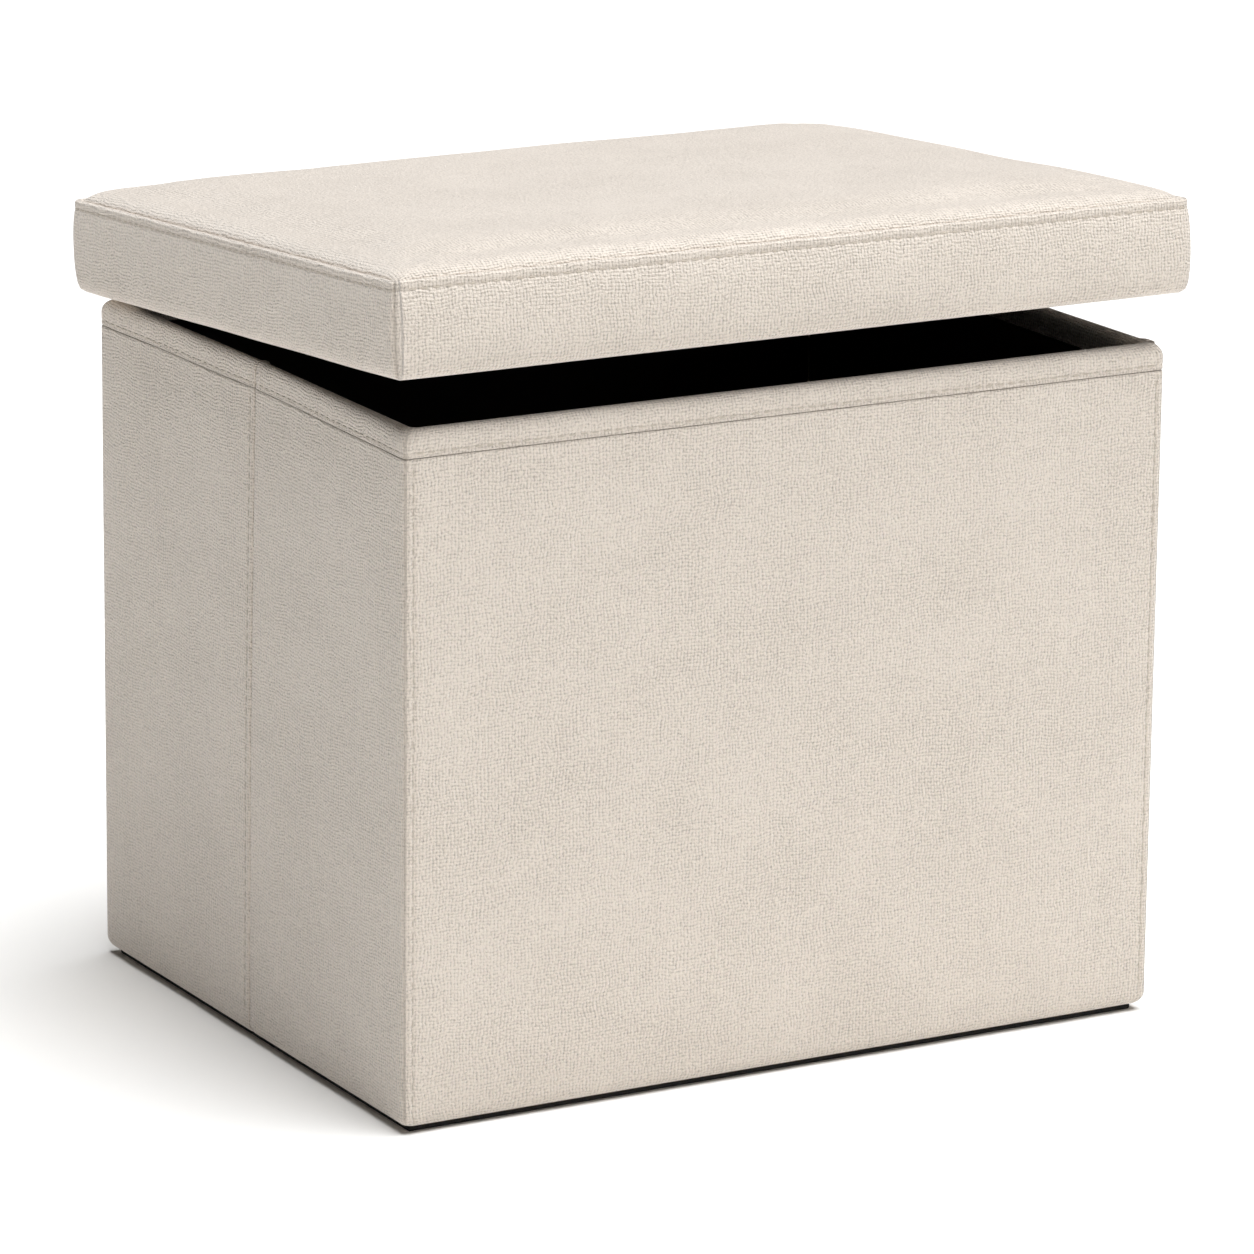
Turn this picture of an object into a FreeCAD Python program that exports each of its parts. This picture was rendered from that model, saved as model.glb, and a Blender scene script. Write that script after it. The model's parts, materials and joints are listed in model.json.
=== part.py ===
import FreeCAD, Part
import os

# Folding storage ottoman, in millimetres. +Z is up, the long front wall faces -Y, and the origin
# is on the floor under the middle of the box. Seven rigid bodies make it up:
#   the back wall with the base board, which the rest hangs on,
#   the left and right end walls, each split by an upright crease into a rear and a front half,
#   the front wall, and the padded lid.
# The end walls fold inwards at their creases, so that the front wall comes back against the rear
# one. The lid swings on a strip of cloth along the top of the back wall, and stands a few degrees
# open, which is its rest place.

# Driving dimensions of the box.
box_width = 475.0
box_depth = 374.0
box_height = 386.0
wall = 15.0
corner_radius = 4.0

# Layers of a wall, from the outside in: linen on wadding, board, lining.
cover = 3.0
board = 10.0
fold_gap = 0.4
lining = wall - cover - board - fold_gap

# The padded band sewn along the top of every wall.
rim_height = 15.0
rim_over_board = 5.0
rim_radius = 5.0

# The base, set in from the walls' faces: bottom cloth, hardboard, lining.
base_inset = 8.0
base_cloth = 0.6
base_board = 2.0
base_top = base_cloth + base_board + base_cloth
base_corner = 6.0

# Air left where one body turns against another.
crease_gap = 0.5
corner_gap = 0.3

# Driving dimensions of the lid, drawn closed and then opened by the rest angle.
lid_overhang = 11.5
lid_rest_angle = 3.9
lid_clearance = 1.7
band_height = 52.0
crown_height = 12.0
lid_cover = 2.0
lid_corner = 6.0
lid_board = 12.0
lid_slip = 1.0
hem_thickness = 1.2
hem_width = 34.0
under_cloth = 0.8
under_cloth_inset = 14.0

# Staples that hold the turned-under linen and the cloth below it.
staple_wire = 0.5
staple_crown = 10.0
staple_leg = 7.0
staple_inset = 24.0
staple_pitch = 46.0

# The strip of cloth that hinges the lid.
strip_thickness = 0.8
strip_end_margin = 25.0
strip_drop = 35.0
strip_reach = 41.0
strip_slack = 0.4
pivot_y = box_depth / 2 + strip_thickness + strip_slack
pivot_z = box_height

lid_width = box_width + 2 * lid_overhang
lid_depth = box_depth + 2 * lid_overhang
cloth_level = box_height + lid_clearance + staple_wire
hem_level = cloth_level + under_cloth
board_level = hem_level + hem_thickness
foam_level = board_level + lid_board
seam_level = hem_level + band_height
lid_top = seam_level + crown_height

half_depth = box_depth / 2 - wall
rim_level = box_height - rim_height
panel_foot = base_top + fold_gap


def slab(x_from, x_to, y_from, y_to, z_from, z_to):
    """A box between two corners."""
    corner = FreeCAD.Vector(x_from, y_from, z_from)
    return Part.makeBox(x_to - x_from, y_to - y_from, z_to - z_from, corner)


def centred_slab(width, depth, z_from, z_to):
    """A box centred on the Z axis."""
    return slab(-width / 2, width / 2, -depth / 2, depth / 2, z_from, z_to)


def upright_edges(shape):
    """The edges that run along Z."""
    return [edge for edge in shape.Edges if max(edge.BoundBox.XLength, edge.BoundBox.YLength) < 0.01]


def top_edges(shape):
    """The edges that lie in the shape's top face."""
    top = shape.BoundBox.ZMax
    return [edge for edge in shape.Edges if edge.BoundBox.ZMin > top - 0.01]


def rounded_slab(width, depth, z_from, z_to, radius):
    """A centred box whose four upright edges are rounded."""
    plain = centred_slab(width, depth, z_from, z_to)
    return plain.makeFillet(radius, upright_edges(plain))


def pillow_slab(width, depth, z_from, z_to, radius, top_radius):
    """A rounded box whose top edge rolls over as well."""
    block = rounded_slab(width, depth, z_from, z_to, radius)
    return block.makeFillet(top_radius, top_edges(block))


def save(name, shape):
    """Write one node's STEP file."""
    shape.exportStep("parts/" + name + ".step")


def outer_corner_edges(shape):
    """The upright edges on the outer face, y = 0, of a wall drawn along X."""
    return [edge for edge in upright_edges(shape) if edge.BoundBox.YMax < 0.01]


def wall_cover(start, end, foot, wrap):
    """Linen on the outer face, turned round both ends where wrap is more than 0."""
    shell = slab(start, end, 0, wall - fold_gap, foot, rim_level)
    if wrap > 0:
        shell = shell.makeFillet(corner_radius, outer_corner_edges(shell))
    inside = slab(start + wrap, end - wrap, cover, wall, foot, rim_level)
    return shell.cut(inside)


def wall_board(start, end, foot, wrap):
    """The stiff board inside a wall."""
    top = box_height - rim_over_board
    return slab(start + wrap, end - wrap, cover, cover + board, foot, top)


def wall_lining(start, end, foot, wrap):
    """The dark cloth on the inner face of a wall."""
    return slab(start + wrap, end - wrap, cover + board, wall - fold_gap, foot, rim_level)


def wall_rim(start, end, wrap):
    """The padded band over the top of a wall, slotted to take the board."""
    band = slab(start, end, 0, wall - fold_gap, rim_level, box_height)
    if wrap > 0:
        band = band.makeFillet(corner_radius, outer_corner_edges(band))
        rolled = top_edges(band)
    else:
        rolled = [edge for edge in top_edges(band) if edge.BoundBox.XLength > 1.0]
    band = band.makeFillet(rim_radius, rolled)
    slot = slab(start + wrap, end - wrap, cover, cover + board, rim_level, box_height - rim_over_board)
    return band.cut(slot)


def save_wall(name, start, end, foot, wrap, turn, offset):
    """Draw a wall along X with its outer face at y = 0, turn it about Z, move it and save it."""
    layers = {
        "board": wall_board(start, end, foot, wrap),
        "cover": wall_cover(start, end, foot, wrap),
        "lining": wall_lining(start, end, foot, wrap),
        "rim_band": wall_rim(start, end, wrap),
    }
    for layer, shape in layers.items():
        shape.rotate(FreeCAD.Vector(0, 0, 0), FreeCAD.Vector(0, 0, 1), turn)
        shape.translate(offset)
        save(name + "_" + layer, shape)


def save_walls():
    """The long walls, and the two halves of each end wall."""
    half_width = box_width / 2
    back = FreeCAD.Vector(0, box_depth / 2, 0)
    front = FreeCAD.Vector(0, -box_depth / 2, 0)
    save_wall("back", -half_width, half_width, base_top, cover, 180, back)
    save_wall("front", -half_width, half_width, panel_foot, cover, 0, front)
    near = crease_gap / 2
    far = half_depth - corner_gap
    left = FreeCAD.Vector(-half_width, 0, 0)
    right = FreeCAD.Vector(half_width, 0, 0)
    save_wall("left_rear", -far, -near, panel_foot, 0, -90, left)
    save_wall("left_front", near, far, panel_foot, 0, -90, left)
    save_wall("right_rear", near, far, panel_foot, 0, 90, right)
    save_wall("right_front", -far, -near, panel_foot, 0, 90, right)


def save_base():
    """Three sheets under the walls, which the ottoman stands on."""
    width = box_width - 2 * base_inset
    depth = box_depth - 2 * base_inset
    board_top = base_cloth + base_board
    save("base_bottom_cloth", rounded_slab(width, depth, 0, base_cloth, base_corner))
    save("base_board", rounded_slab(width, depth, base_cloth, board_top, base_corner))
    save("base_lining", rounded_slab(width, depth, board_top, base_top, base_corner))


def save_lid_piece(name, shape):
    """Open a piece of the closed lid by the rest angle about its hinge line, and save it."""
    shape.rotate(FreeCAD.Vector(0, pivot_y, pivot_z), FreeCAD.Vector(1, 0, 0), -lid_rest_angle)
    save(name, shape)


def lid_block(inset, z_from, z_to):
    """A slice of the lid, set in from its outline."""
    radius = max(lid_corner - inset, 1.0)
    return rounded_slab(lid_width - 2 * inset, lid_depth - 2 * inset, z_from, z_to, radius)


def save_lid_padding():
    """Board, foam, wadding and the sewn top cover, from the bottom up."""
    core_inset = lid_cover + lid_slip
    foam_top = seam_level - lid_cover
    wadding = pillow_slab(
        lid_width - 2 * lid_cover, lid_depth - 2 * lid_cover, foam_top, lid_top - lid_cover,
        lid_corner - lid_cover, crown_height - 2 * lid_cover)
    shell = pillow_slab(
        lid_width, lid_depth, seam_level, lid_top, lid_corner, crown_height - lid_cover)
    save_lid_piece("lid_board", lid_block(core_inset, board_level, foam_level))
    save_lid_piece("lid_foam", lid_block(core_inset, foam_level, foam_top))
    save_lid_piece("lid_top_cover", shell.cut(wadding))
    save_lid_piece("lid_wadding", wadding)


def mitred_side(run, across):
    """A tapering prism with 45 degree ends, to cut one side out of a ring. run is along X."""
    reach = 4 * lid_corner
    corners = [(-run / 2, -across / 2), (run / 2, -across / 2),
               (run / 2 - reach, -across / 2 + reach), (-run / 2 + reach, -across / 2 + reach)]
    points = [FreeCAD.Vector(x, y, board_level) for x, y in corners]
    outline = Part.makePolygon(points + points[:1])
    return Part.Face(outline).extrude(FreeCAD.Vector(0, 0, seam_level - board_level))


def save_lid_band():
    """The four linen strips round the lid's sides, seamed at the corners."""
    ring = lid_block(0, board_level, seam_level).cut(lid_block(lid_cover, board_level, seam_level))
    sides = [("front", lid_width, lid_depth, 0), ("right", lid_depth, lid_width, 90),
             ("rear", lid_width, lid_depth, 180), ("left", lid_depth, lid_width, 270)]
    for side, run, across, turn in sides:
        cutter = mitred_side(run, across)
        cutter.rotate(FreeCAD.Vector(0, 0, 0), FreeCAD.Vector(0, 0, 1), turn)
        save_lid_piece("lid_band_" + side, ring.common(cutter))


def strip_on_lid():
    """The part of the hinge strip that lies under the lid."""
    reach_from = pivot_y - strip_slack - strip_reach
    half = box_width / 2 - strip_end_margin
    return slab(-half, half, reach_from, pivot_y - strip_slack / 2, cloth_level, hem_level)


def save_hinge_strip():
    """One strip of cloth, drawn as the part on the wall and the part on the lid."""
    half = box_width / 2 - strip_end_margin
    face = box_depth / 2
    on_wall = slab(-half, half, face, face + strip_thickness,
                   box_height - strip_drop, box_height - strip_slack)
    save("hinge_strip_on_wall", on_wall)
    save_lid_piece("hinge_strip_on_lid", strip_on_lid())


def save_lid_underside():
    """The turned-under hem of the linen, and the dark cloth that closes the underside."""
    hem = lid_block(0, hem_level, board_level).cut(lid_block(hem_width, hem_level, board_level))
    cloth = lid_block(under_cloth_inset, cloth_level, hem_level)
    rear_cut = slab(-lid_width, lid_width, pivot_y - strip_slack - strip_reach - fold_gap,
                    lid_depth, cloth_level, hem_level)
    save_lid_piece("lid_hem", hem)
    save_lid_piece("lid_under_cloth", cloth.cut(rear_cut))


def staple(x, y, along_x):
    """One driven staple: a crown below the cloth and two legs up into the board."""
    half_crown = staple_crown / 2
    half_wire = staple_wire / 2
    crown = slab(-half_crown, half_crown, -half_wire, half_wire,
                 cloth_level - staple_wire, cloth_level)
    legs = [slab(at, at + staple_wire, -half_wire, half_wire, cloth_level, cloth_level + staple_leg)
            for at in (-half_crown, half_crown - staple_wire)]
    whole = crown.multiFuse(legs).removeSplitter()
    if not along_x:
        whole.rotate(FreeCAD.Vector(0, 0, 0), FreeCAD.Vector(0, 0, 1), 90)
    whole.translate(FreeCAD.Vector(x, y, 0))
    return whole


def spaced(length):
    """Even places along a length, centred on 0."""
    count = int(length / staple_pitch)
    return [(index - (count - 1) / 2) * staple_pitch for index in range(count)]


def save_staples():
    """A row of staples along each side of the lid's underside."""
    front_y = staple_inset - lid_depth / 2
    rear_y = pivot_y - strip_slack - strip_reach / 2
    middle_y = (front_y + rear_y) / 2
    side_x = lid_width / 2 - staple_inset
    long_rows = [staple(x, y, True)
                 for x in spaced(2 * side_x - staple_pitch) for y in (front_y, rear_y)]
    short_rows = [staple(x, middle_y + y, False)
                  for y in spaced(rear_y - front_y - staple_pitch) for x in (-side_x, side_x)]
    save_lid_piece("lid_staples", Part.makeCompound(long_rows + short_rows))


os.makedirs("parts", exist_ok=True)
save_walls()
save_base()
save_lid_padding()
save_lid_band()
save_lid_underside()
save_hinge_strip()
save_staples()
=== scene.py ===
import json
import logging
import math
from dataclasses import dataclass
from enum import Enum
from typing import Any, Callable, Optional, Sequence, Union

import bpy
import numpy as np
from mathutils import Matrix, Vector


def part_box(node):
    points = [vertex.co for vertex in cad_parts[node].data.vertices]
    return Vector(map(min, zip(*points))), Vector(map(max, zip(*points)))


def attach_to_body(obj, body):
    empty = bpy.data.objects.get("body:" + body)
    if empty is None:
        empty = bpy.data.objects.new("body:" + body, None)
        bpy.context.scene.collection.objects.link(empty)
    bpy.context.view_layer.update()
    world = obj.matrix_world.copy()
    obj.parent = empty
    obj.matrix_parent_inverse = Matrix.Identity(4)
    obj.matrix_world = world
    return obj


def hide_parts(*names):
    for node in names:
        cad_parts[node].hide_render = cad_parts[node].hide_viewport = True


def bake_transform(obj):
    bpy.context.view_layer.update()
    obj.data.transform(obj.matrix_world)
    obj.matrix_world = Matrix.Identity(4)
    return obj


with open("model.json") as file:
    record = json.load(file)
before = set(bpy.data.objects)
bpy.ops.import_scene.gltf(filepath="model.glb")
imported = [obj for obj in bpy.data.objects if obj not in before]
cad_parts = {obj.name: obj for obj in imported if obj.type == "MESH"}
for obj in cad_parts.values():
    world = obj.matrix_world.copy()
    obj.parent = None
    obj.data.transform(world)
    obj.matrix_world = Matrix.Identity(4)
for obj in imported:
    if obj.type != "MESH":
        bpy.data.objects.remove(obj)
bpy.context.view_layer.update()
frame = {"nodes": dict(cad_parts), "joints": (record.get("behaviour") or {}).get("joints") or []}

LOG = logging.getLogger("storage_ottoman")
MM = 0.001
WEAVE_UV = "weave"
# Mesh attribute that holds painted shade for seams, stitch rows and the valley behind the lid's lip; the
# linen darkens by it.
SEAM_SHADE_MARK = "seam"

Colour = tuple[float, float, float]
Grid = np.ndarray


# ---------------------------------------------------------------- shader graph


class Wire:
    """A number socket that takes part in arithmetic, adding Math nodes to its graph."""

    def __init__(self, graph: "Graph", socket: bpy.types.NodeSocket) -> None:
        """Wrap a socket of a graph.

        Args:
            graph: the graph that new nodes go into.
            socket: the output socket that carries the number.
        """
        self.graph = graph
        self.socket = socket

    def __add__(self, other: "Number") -> "Wire":
        """The sum."""
        return self.graph.math("ADD", self, other)

    def __radd__(self, other: float) -> "Wire":
        """The sum, reflected."""
        return self.graph.math("ADD", other, self)

    def __sub__(self, other: "Number") -> "Wire":
        """The difference."""
        return self.graph.math("SUBTRACT", self, other)

    def __rsub__(self, other: float) -> "Wire":
        """The difference, reflected."""
        return self.graph.math("SUBTRACT", other, self)

    def __mul__(self, other: "Number") -> "Wire":
        """The product."""
        return self.graph.math("MULTIPLY", self, other)

    def __rmul__(self, other: float) -> "Wire":
        """The product, reflected."""
        return self.graph.math("MULTIPLY", other, self)

    def __pow__(self, other: "Number") -> "Wire":
        """The power."""
        return self.graph.math("POWER", self, other)

    def __abs__(self) -> "Wire":
        """The absolute value."""
        return self.graph.math("ABSOLUTE", self)


Number = Union[Wire, float]


class Graph:
    """The node graph of one new material, with its Principled shader."""

    def __init__(self, name: str) -> None:
        """Start a material.

        Args:
            name: the material's name.
        """
        self.material = bpy.data.materials.new(name)
        self.material.use_nodes = True
        self.tree = self.material.node_tree
        self.tree.nodes.clear()
        self.shader = self.node("ShaderNodeBsdfPrincipled")
        self.node("ShaderNodeOutputMaterial", inputs={"Surface": self.shader.outputs["BSDF"]})

    def node(self, kind: str, settings: Optional[dict[str, Any]] = None,
             inputs: Optional[dict[Union[str, int], Any]] = None) -> bpy.types.Node:
        """Add any node.

        Args:
            kind: the node's type.
            settings: its properties; a ramp's stops go under "stops".
            inputs: values or links for its sockets, by name or number.

        Returns:
            The new node.
        """
        made = self.tree.nodes.new(kind)
        for key, value in (settings or {}).items():
            if key == "stops":
                self._set_stops(made.color_ramp, value)
            else:
                setattr(made, key, value)
        for key, value in (inputs or {}).items():
            self.feed(made.inputs[key], value)
        return made

    @staticmethod
    def _set_stops(ramp: bpy.types.ColorRamp, stops: Sequence[tuple[float, Colour]]) -> None:
        """Give a colour ramp its stops."""
        while len(ramp.elements) < len(stops):
            ramp.elements.new(0.5)
        for element, (place, colour) in zip(ramp.elements, stops):
            element.position = place
            element.color = (*colour, 1.0)

    def feed(self, socket: bpy.types.NodeSocket, value: Any) -> None:
        """Set a socket to a value, or link it to a wire or an output."""
        if isinstance(value, Wire):
            value = value.socket
        if isinstance(value, bpy.types.NodeSocket):
            self.tree.links.new(value, socket)
        elif isinstance(value, tuple) and len(value) == 3 and socket.type == "RGBA":
            socket.default_value = (*value, 1.0)
        else:
            socket.default_value = value

    def wire(self, socket: bpy.types.NodeSocket) -> Wire:
        """A wire from an output socket."""
        return Wire(self, socket)

    def math(self, operation: str, first: Number, second: Number = 0.0) -> Wire:
        """One Math node on one or two numbers."""
        made = self.node("ShaderNodeMath", {"operation": operation}, {0: first, 1: second})
        return self.wire(made.outputs[0])

    def sine(self, value: Wire) -> Wire:
        """The sine of a number in radians."""
        return self.math("SINE", value)

    def floor(self, value: Wire) -> Wire:
        """The whole number below a number."""
        return self.math("FLOOR", value)

    def larger(self, first: Number, second: Number) -> Wire:
        """The larger of two numbers."""
        return self.math("MAXIMUM", first, second)

    def alternate(self, whole: Wire) -> Wire:
        """Plus or minus one, as a whole number is even or odd."""
        return self.math("COSINE", whole * math.pi)

    def cloth_place(self) -> tuple[Wire, Wire]:
        """The place on the cloth, in metres along and across it."""
        uv = self.node("ShaderNodeUVMap", {"uv_map": WEAVE_UV})
        parts = self.node("ShaderNodeSeparateXYZ", inputs={0: uv.outputs[0]})
        return self.wire(parts.outputs[0]), self.wire(parts.outputs[1])

    def noise(self, along: Number, across: Number, detail: float = 2.0) -> Wire:
        """Noise over two numbers, about 0.5 on average."""
        place = self.node("ShaderNodeCombineXYZ", inputs={0: along, 1: across, 2: 0.0})
        made = self.node("ShaderNodeTexNoise", {"noise_dimensions": "2D"},
                         {"Vector": place.outputs[0], "Scale": 1.0, "Detail": detail})
        return self.wire(made.outputs[0])

    def mark(self) -> Wire:
        """The painted seam shade stored on the mesh, 1 where the painted shade of a seam is darkest."""
        made = self.node("ShaderNodeAttribute", {"attribute_name": SEAM_SHADE_MARK})
        return self.wire(made.outputs["Fac"])

    def mix(self, share: Number, first: Any, second: Any) -> bpy.types.NodeSocket:
        """A mix of two colours."""
        made = self.node("ShaderNodeMix", {"data_type": "RGBA"}, {0: share, 6: first, 7: second})
        return made.outputs[2]

    def bump(self, height: Wire, distance: float, strength: float) -> None:
        """Raise the surface by a height, in metres times a share, and feed the shader."""
        made = self.node("ShaderNodeBump", inputs={
            "Height": height, "Distance": distance, "Strength": strength})
        self.feed(self.shader.inputs["Normal"], made.outputs[0])

    def finish(self, **constants: Any) -> bpy.types.Material:
        """Set the shader's constant sockets.

        Args:
            **constants: socket names, with underscores for spaces, and their values.

        Returns:
            The material.
        """
        for name, value in constants.items():
            self.feed(self.shader.inputs[name.replace("_", " ")], value)
        return self.material


# ---------------------------------------------------------------- finishes


@dataclass(frozen=True)
class LinenFinish:
    """A slubby plain-weave linen of round off-white yarns that pass over and under each other."""

    name: str = "linen"
    thread: Colour = (0.868, 0.775, 0.682)
    # gap is painted shade in the pits between the yarns.
    gap: Colour = (0.305, 0.250, 0.195)
    # Painted shade colour for seam grooves, stitch rows and the valley behind the lid's lip.
    seam_painted_shade: Colour = (0.36, 0.30, 0.24)
    pitch_along: float = 2.05 * MM
    pitch_across: float = 1.85 * MM
    relief: float = 1.05 * MM
    relief_strength: float = 1.0

    def make(self) -> bpy.types.Material:
        """Build the material."""
        g = Graph(self.name)
        along, across = g.cloth_place()
        wander = (g.noise(along * 26.0, across * 52.0) - 0.5) * 2.4
        wobble = (g.noise(along * 330.0, across * 260.0) - 0.5) * 0.5
        a = along * (1.0 / self.pitch_along) + wander + wobble
        wander = (g.noise(along * 55.0 + 7.3, across * 24.0) - 0.5) * 2.4
        wobble = (g.noise(along * 260.0 + 4.1, across * 330.0) - 0.5) * 0.5
        b = across * (1.0 / self.pitch_across) + wander + wobble
        column, row = g.floor(a), g.floor(b)
        slub_warp = g.noise(column * 3.71, across * 55.0, 1.0)
        slub_weft = g.noise(along * 55.0, row * 3.37, 1.0)
        warp = self._yarn(g, a, column, b, slub_warp, 1.0)
        weft = self._yarn(g, b, row, a, slub_weft, -1.0)
        fuzz = g.noise(along * 1900.0, across * 1900.0, 2.0)
        bead = g.noise(along * 640.0, across * 640.0, 1.0)
        cloud = g.noise(along * 14.0, across * 14.0, 3.0)
        top = g.larger(warp, weft)
        height = top * 0.78 + fuzz * 0.30 + bead * 0.90
        # Painted shade: lower yarn heights darken towards the gap colour, as shade in the pits would; fuzz,
        # beads and cloud add the yarns' random tone.
        share = top * 0.52 + fuzz * 0.30 + bead * 0.50 + cloud * 0.16 - 0.31
        tone = g.node("ShaderNodeValToRGB", {"stops": [(0.0, self.gap), (0.62, self.thread)]},
                      {0: share})
        # Painted shade along seams, from the seam attribute on the mesh.
        colour = g.mix(g.mark() * 0.42, tone.outputs[0], self.seam_painted_shade)
        g.feed(g.shader.inputs["Base Color"], colour)
        g.bump(height, self.relief, self.relief_strength)
        return g.finish(Roughness=0.9, Specular_IOR_Level=0.25, Sheen_Weight=0.5,
                        Sheen_Roughness=0.45, Sheen_Tint=(1.0, 1.0, 1.0))

    @staticmethod
    def _yarn(g: Graph, own: Wire, index: Wire, other: Wire, slub: Wire, phase: float) -> Wire:
        """The height of one set of yarns, round across and waved along.

        Args:
            g: the graph.
            own: the place across the yarns, in yarns.
            index: the whole number of the yarn.
            other: the place along the yarn, in yarns of the other set.
            slub: how thick the yarn is here, about 0.5.
            phase: 1 or -1, for the set that goes over first.

        Returns:
            The height, 1 at the top of a yarn that passes over.
        """
        offset = (own - index) * 2.0 - 1.0
        rounded = g.larger(1.0 - offset * offset, 0.0) ** 0.5
        wave = g.sine(other * math.pi) * g.alternate(index) * phase
        return rounded * 0.55 + wave * 0.33 + slub * 0.32 - 0.06


@dataclass(frozen=True)
class LiningFinish:
    """A dark brown-black lining cloth with a fine diagonal rib."""

    name: str = "dark_lining"
    raised: Colour = (0.046, 0.039, 0.032)
    sunk: Colour = (0.019, 0.016, 0.013)
    rib: float = 0.9 * MM

    def make(self) -> bpy.types.Material:
        """Build the material."""
        g = Graph(self.name)
        along, across = g.cloth_place()
        rib = g.sine((along + across) * (2.0 * math.pi / self.rib)) * 0.5 + 0.5
        grain = g.noise(along * 1500.0, across * 1500.0)
        cloud = g.noise(along * 14.0, across * 14.0, 3.0)
        share = rib * 0.4 + grain * 0.35 + cloud * 0.35 - 0.05
        tone = g.node("ShaderNodeValToRGB", {"stops": [(0.1, self.sunk), (0.9, self.raised)]},
                      {0: share})
        g.feed(g.shader.inputs["Base Color"], tone.outputs[0])
        g.bump(rib * 0.5 + grain * 0.4 + cloud * 2.0, 0.2 * MM, 0.5)
        return g.finish(Roughness=0.8, Specular_IOR_Level=0.25, Sheen_Weight=0.1)


@dataclass(frozen=True)
class PressedClothFinish:
    """A thin non-woven cloth, pressed with a grid of small dots."""

    name: str = "pressed_cloth"
    raised: Colour = (0.045, 0.042, 0.040)
    sunk: Colour = (0.016, 0.015, 0.014)
    dot_pitch: float = 1.6 * MM

    def make(self) -> bpy.types.Material:
        """Build the material."""
        g = Graph(self.name)
        along, across = g.cloth_place()
        turn = math.pi / self.dot_pitch
        dots = abs(g.sine(along * turn) * g.sine(across * turn)) ** 2.0
        fibres = g.noise(along * 900.0, across * 300.0, 4.0)
        share = fibres * 0.9 - dots * 0.6
        tone = g.node("ShaderNodeValToRGB", {"stops": [(0.0, self.sunk), (0.8, self.raised)]},
                      {0: share})
        g.feed(g.shader.inputs["Base Color"], tone.outputs[0])
        g.bump(fibres * 0.6 - dots, 0.15 * MM, 0.6)
        return g.finish(Roughness=0.85, Specular_IOR_Level=0.2)


@dataclass(frozen=True)
class ThreadFinish:
    """Twisted sewing thread, a shade lighter than the linen."""

    name: str = "thread"
    light: Colour = (0.74, 0.67, 0.58)
    dark: Colour = (0.50, 0.43, 0.35)

    def make(self) -> bpy.types.Material:
        """Build the material."""
        g = Graph(self.name)
        along, across = g.cloth_place()
        ply = g.sine(along * 9000.0 + across * 2.0) * 0.5 + 0.5
        tone = g.node("ShaderNodeValToRGB", {"stops": [(0.0, self.dark), (0.9, self.light)]},
                      {0: ply})
        g.feed(g.shader.inputs["Base Color"], tone.outputs[0])
        g.bump(ply, 0.1 * MM, 0.5)
        return g.finish(Roughness=0.7, Specular_IOR_Level=0.3)


@dataclass(frozen=True)
class FibreboardFinish:
    """Pressed fibreboard, speckled with short brown fibres."""

    name: str = "fibreboard"
    light: Colour = (0.42, 0.29, 0.17)
    dark: Colour = (0.22, 0.14, 0.075)

    def make(self) -> bpy.types.Material:
        """Build the material, placed by the solid's own coordinates."""
        g = Graph(self.name)
        place = g.node("ShaderNodeTexCoord")
        fine = g.node("ShaderNodeTexNoise", inputs={
            "Vector": place.outputs["Object"], "Scale": 900.0, "Detail": 4.0})
        broad = g.node("ShaderNodeTexNoise", inputs={
            "Vector": place.outputs["Object"], "Scale": 60.0, "Detail": 2.0})
        share = g.wire(fine.outputs[0]) * 0.8 + g.wire(broad.outputs[0]) * 0.4 - 0.1
        tone = g.node("ShaderNodeValToRGB", {"stops": [(0.25, self.dark), (0.75, self.light)]},
                      {0: share})
        g.feed(g.shader.inputs["Base Color"], tone.outputs[0])
        g.bump(share, 0.2 * MM, 0.4)
        return g.finish(Roughness=0.75)


@dataclass(frozen=True)
class StapleFinish:
    """Zinc-plated wire with fine drawing marks."""

    name: str = "staple_steel"
    bright: Colour = (0.62, 0.62, 0.63)
    dull: Colour = (0.40, 0.40, 0.41)

    def make(self) -> bpy.types.Material:
        """Build the material, placed by the solid's own coordinates."""
        g = Graph(self.name)
        place = g.node("ShaderNodeTexCoord")
        marks = g.node("ShaderNodeTexNoise", inputs={
            "Vector": place.outputs["Object"], "Scale": 2400.0, "Detail": 3.0})
        share = g.wire(marks.outputs[0])
        tone = g.node("ShaderNodeValToRGB", {"stops": [(0.3, self.dull), (0.7, self.bright)]},
                      {0: share})
        g.feed(g.shader.inputs["Base Color"], tone.outputs[0])
        g.feed(g.shader.inputs["Roughness"], share * 0.3 + 0.2)
        return g.finish(Metallic=1.0)


@dataclass(frozen=True)
class StudioFinish:
    """The pale studio floor, with a very faint grain."""

    name: str = "studio_floor"
    warm: Colour = (0.925, 0.904, 0.868)
    pale: Colour = (0.945, 0.937, 0.925)

    def make(self) -> bpy.types.Material:
        """Build the material."""
        g = Graph(self.name)
        place = g.node("ShaderNodeTexCoord")
        grain = g.node("ShaderNodeTexNoise", inputs={
            "Vector": place.outputs["Object"], "Scale": 3.0, "Detail": 2.0})
        colour = g.mix(g.wire(grain.outputs[0]), self.pale, self.warm)
        g.feed(g.shader.inputs["Base Color"], colour)
        return g.finish(Roughness=0.9, Specular_IOR_Level=0.1)


@dataclass
class Finishes:
    """Every material of the ottoman, made once."""

    linen: bpy.types.Material
    lining: bpy.types.Material
    pressed: bpy.types.Material
    thread: bpy.types.Material
    board: bpy.types.Material
    staple: bpy.types.Material

    @classmethod
    def make(cls) -> "Finishes":
        """Build them all."""
        return cls(LinenFinish().make(), LiningFinish().make(), PressedClothFinish().make(),
                   ThreadFinish().make(), FibreboardFinish().make(), StapleFinish().make())


# ---------------------------------------------------------------- mesh making


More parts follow.
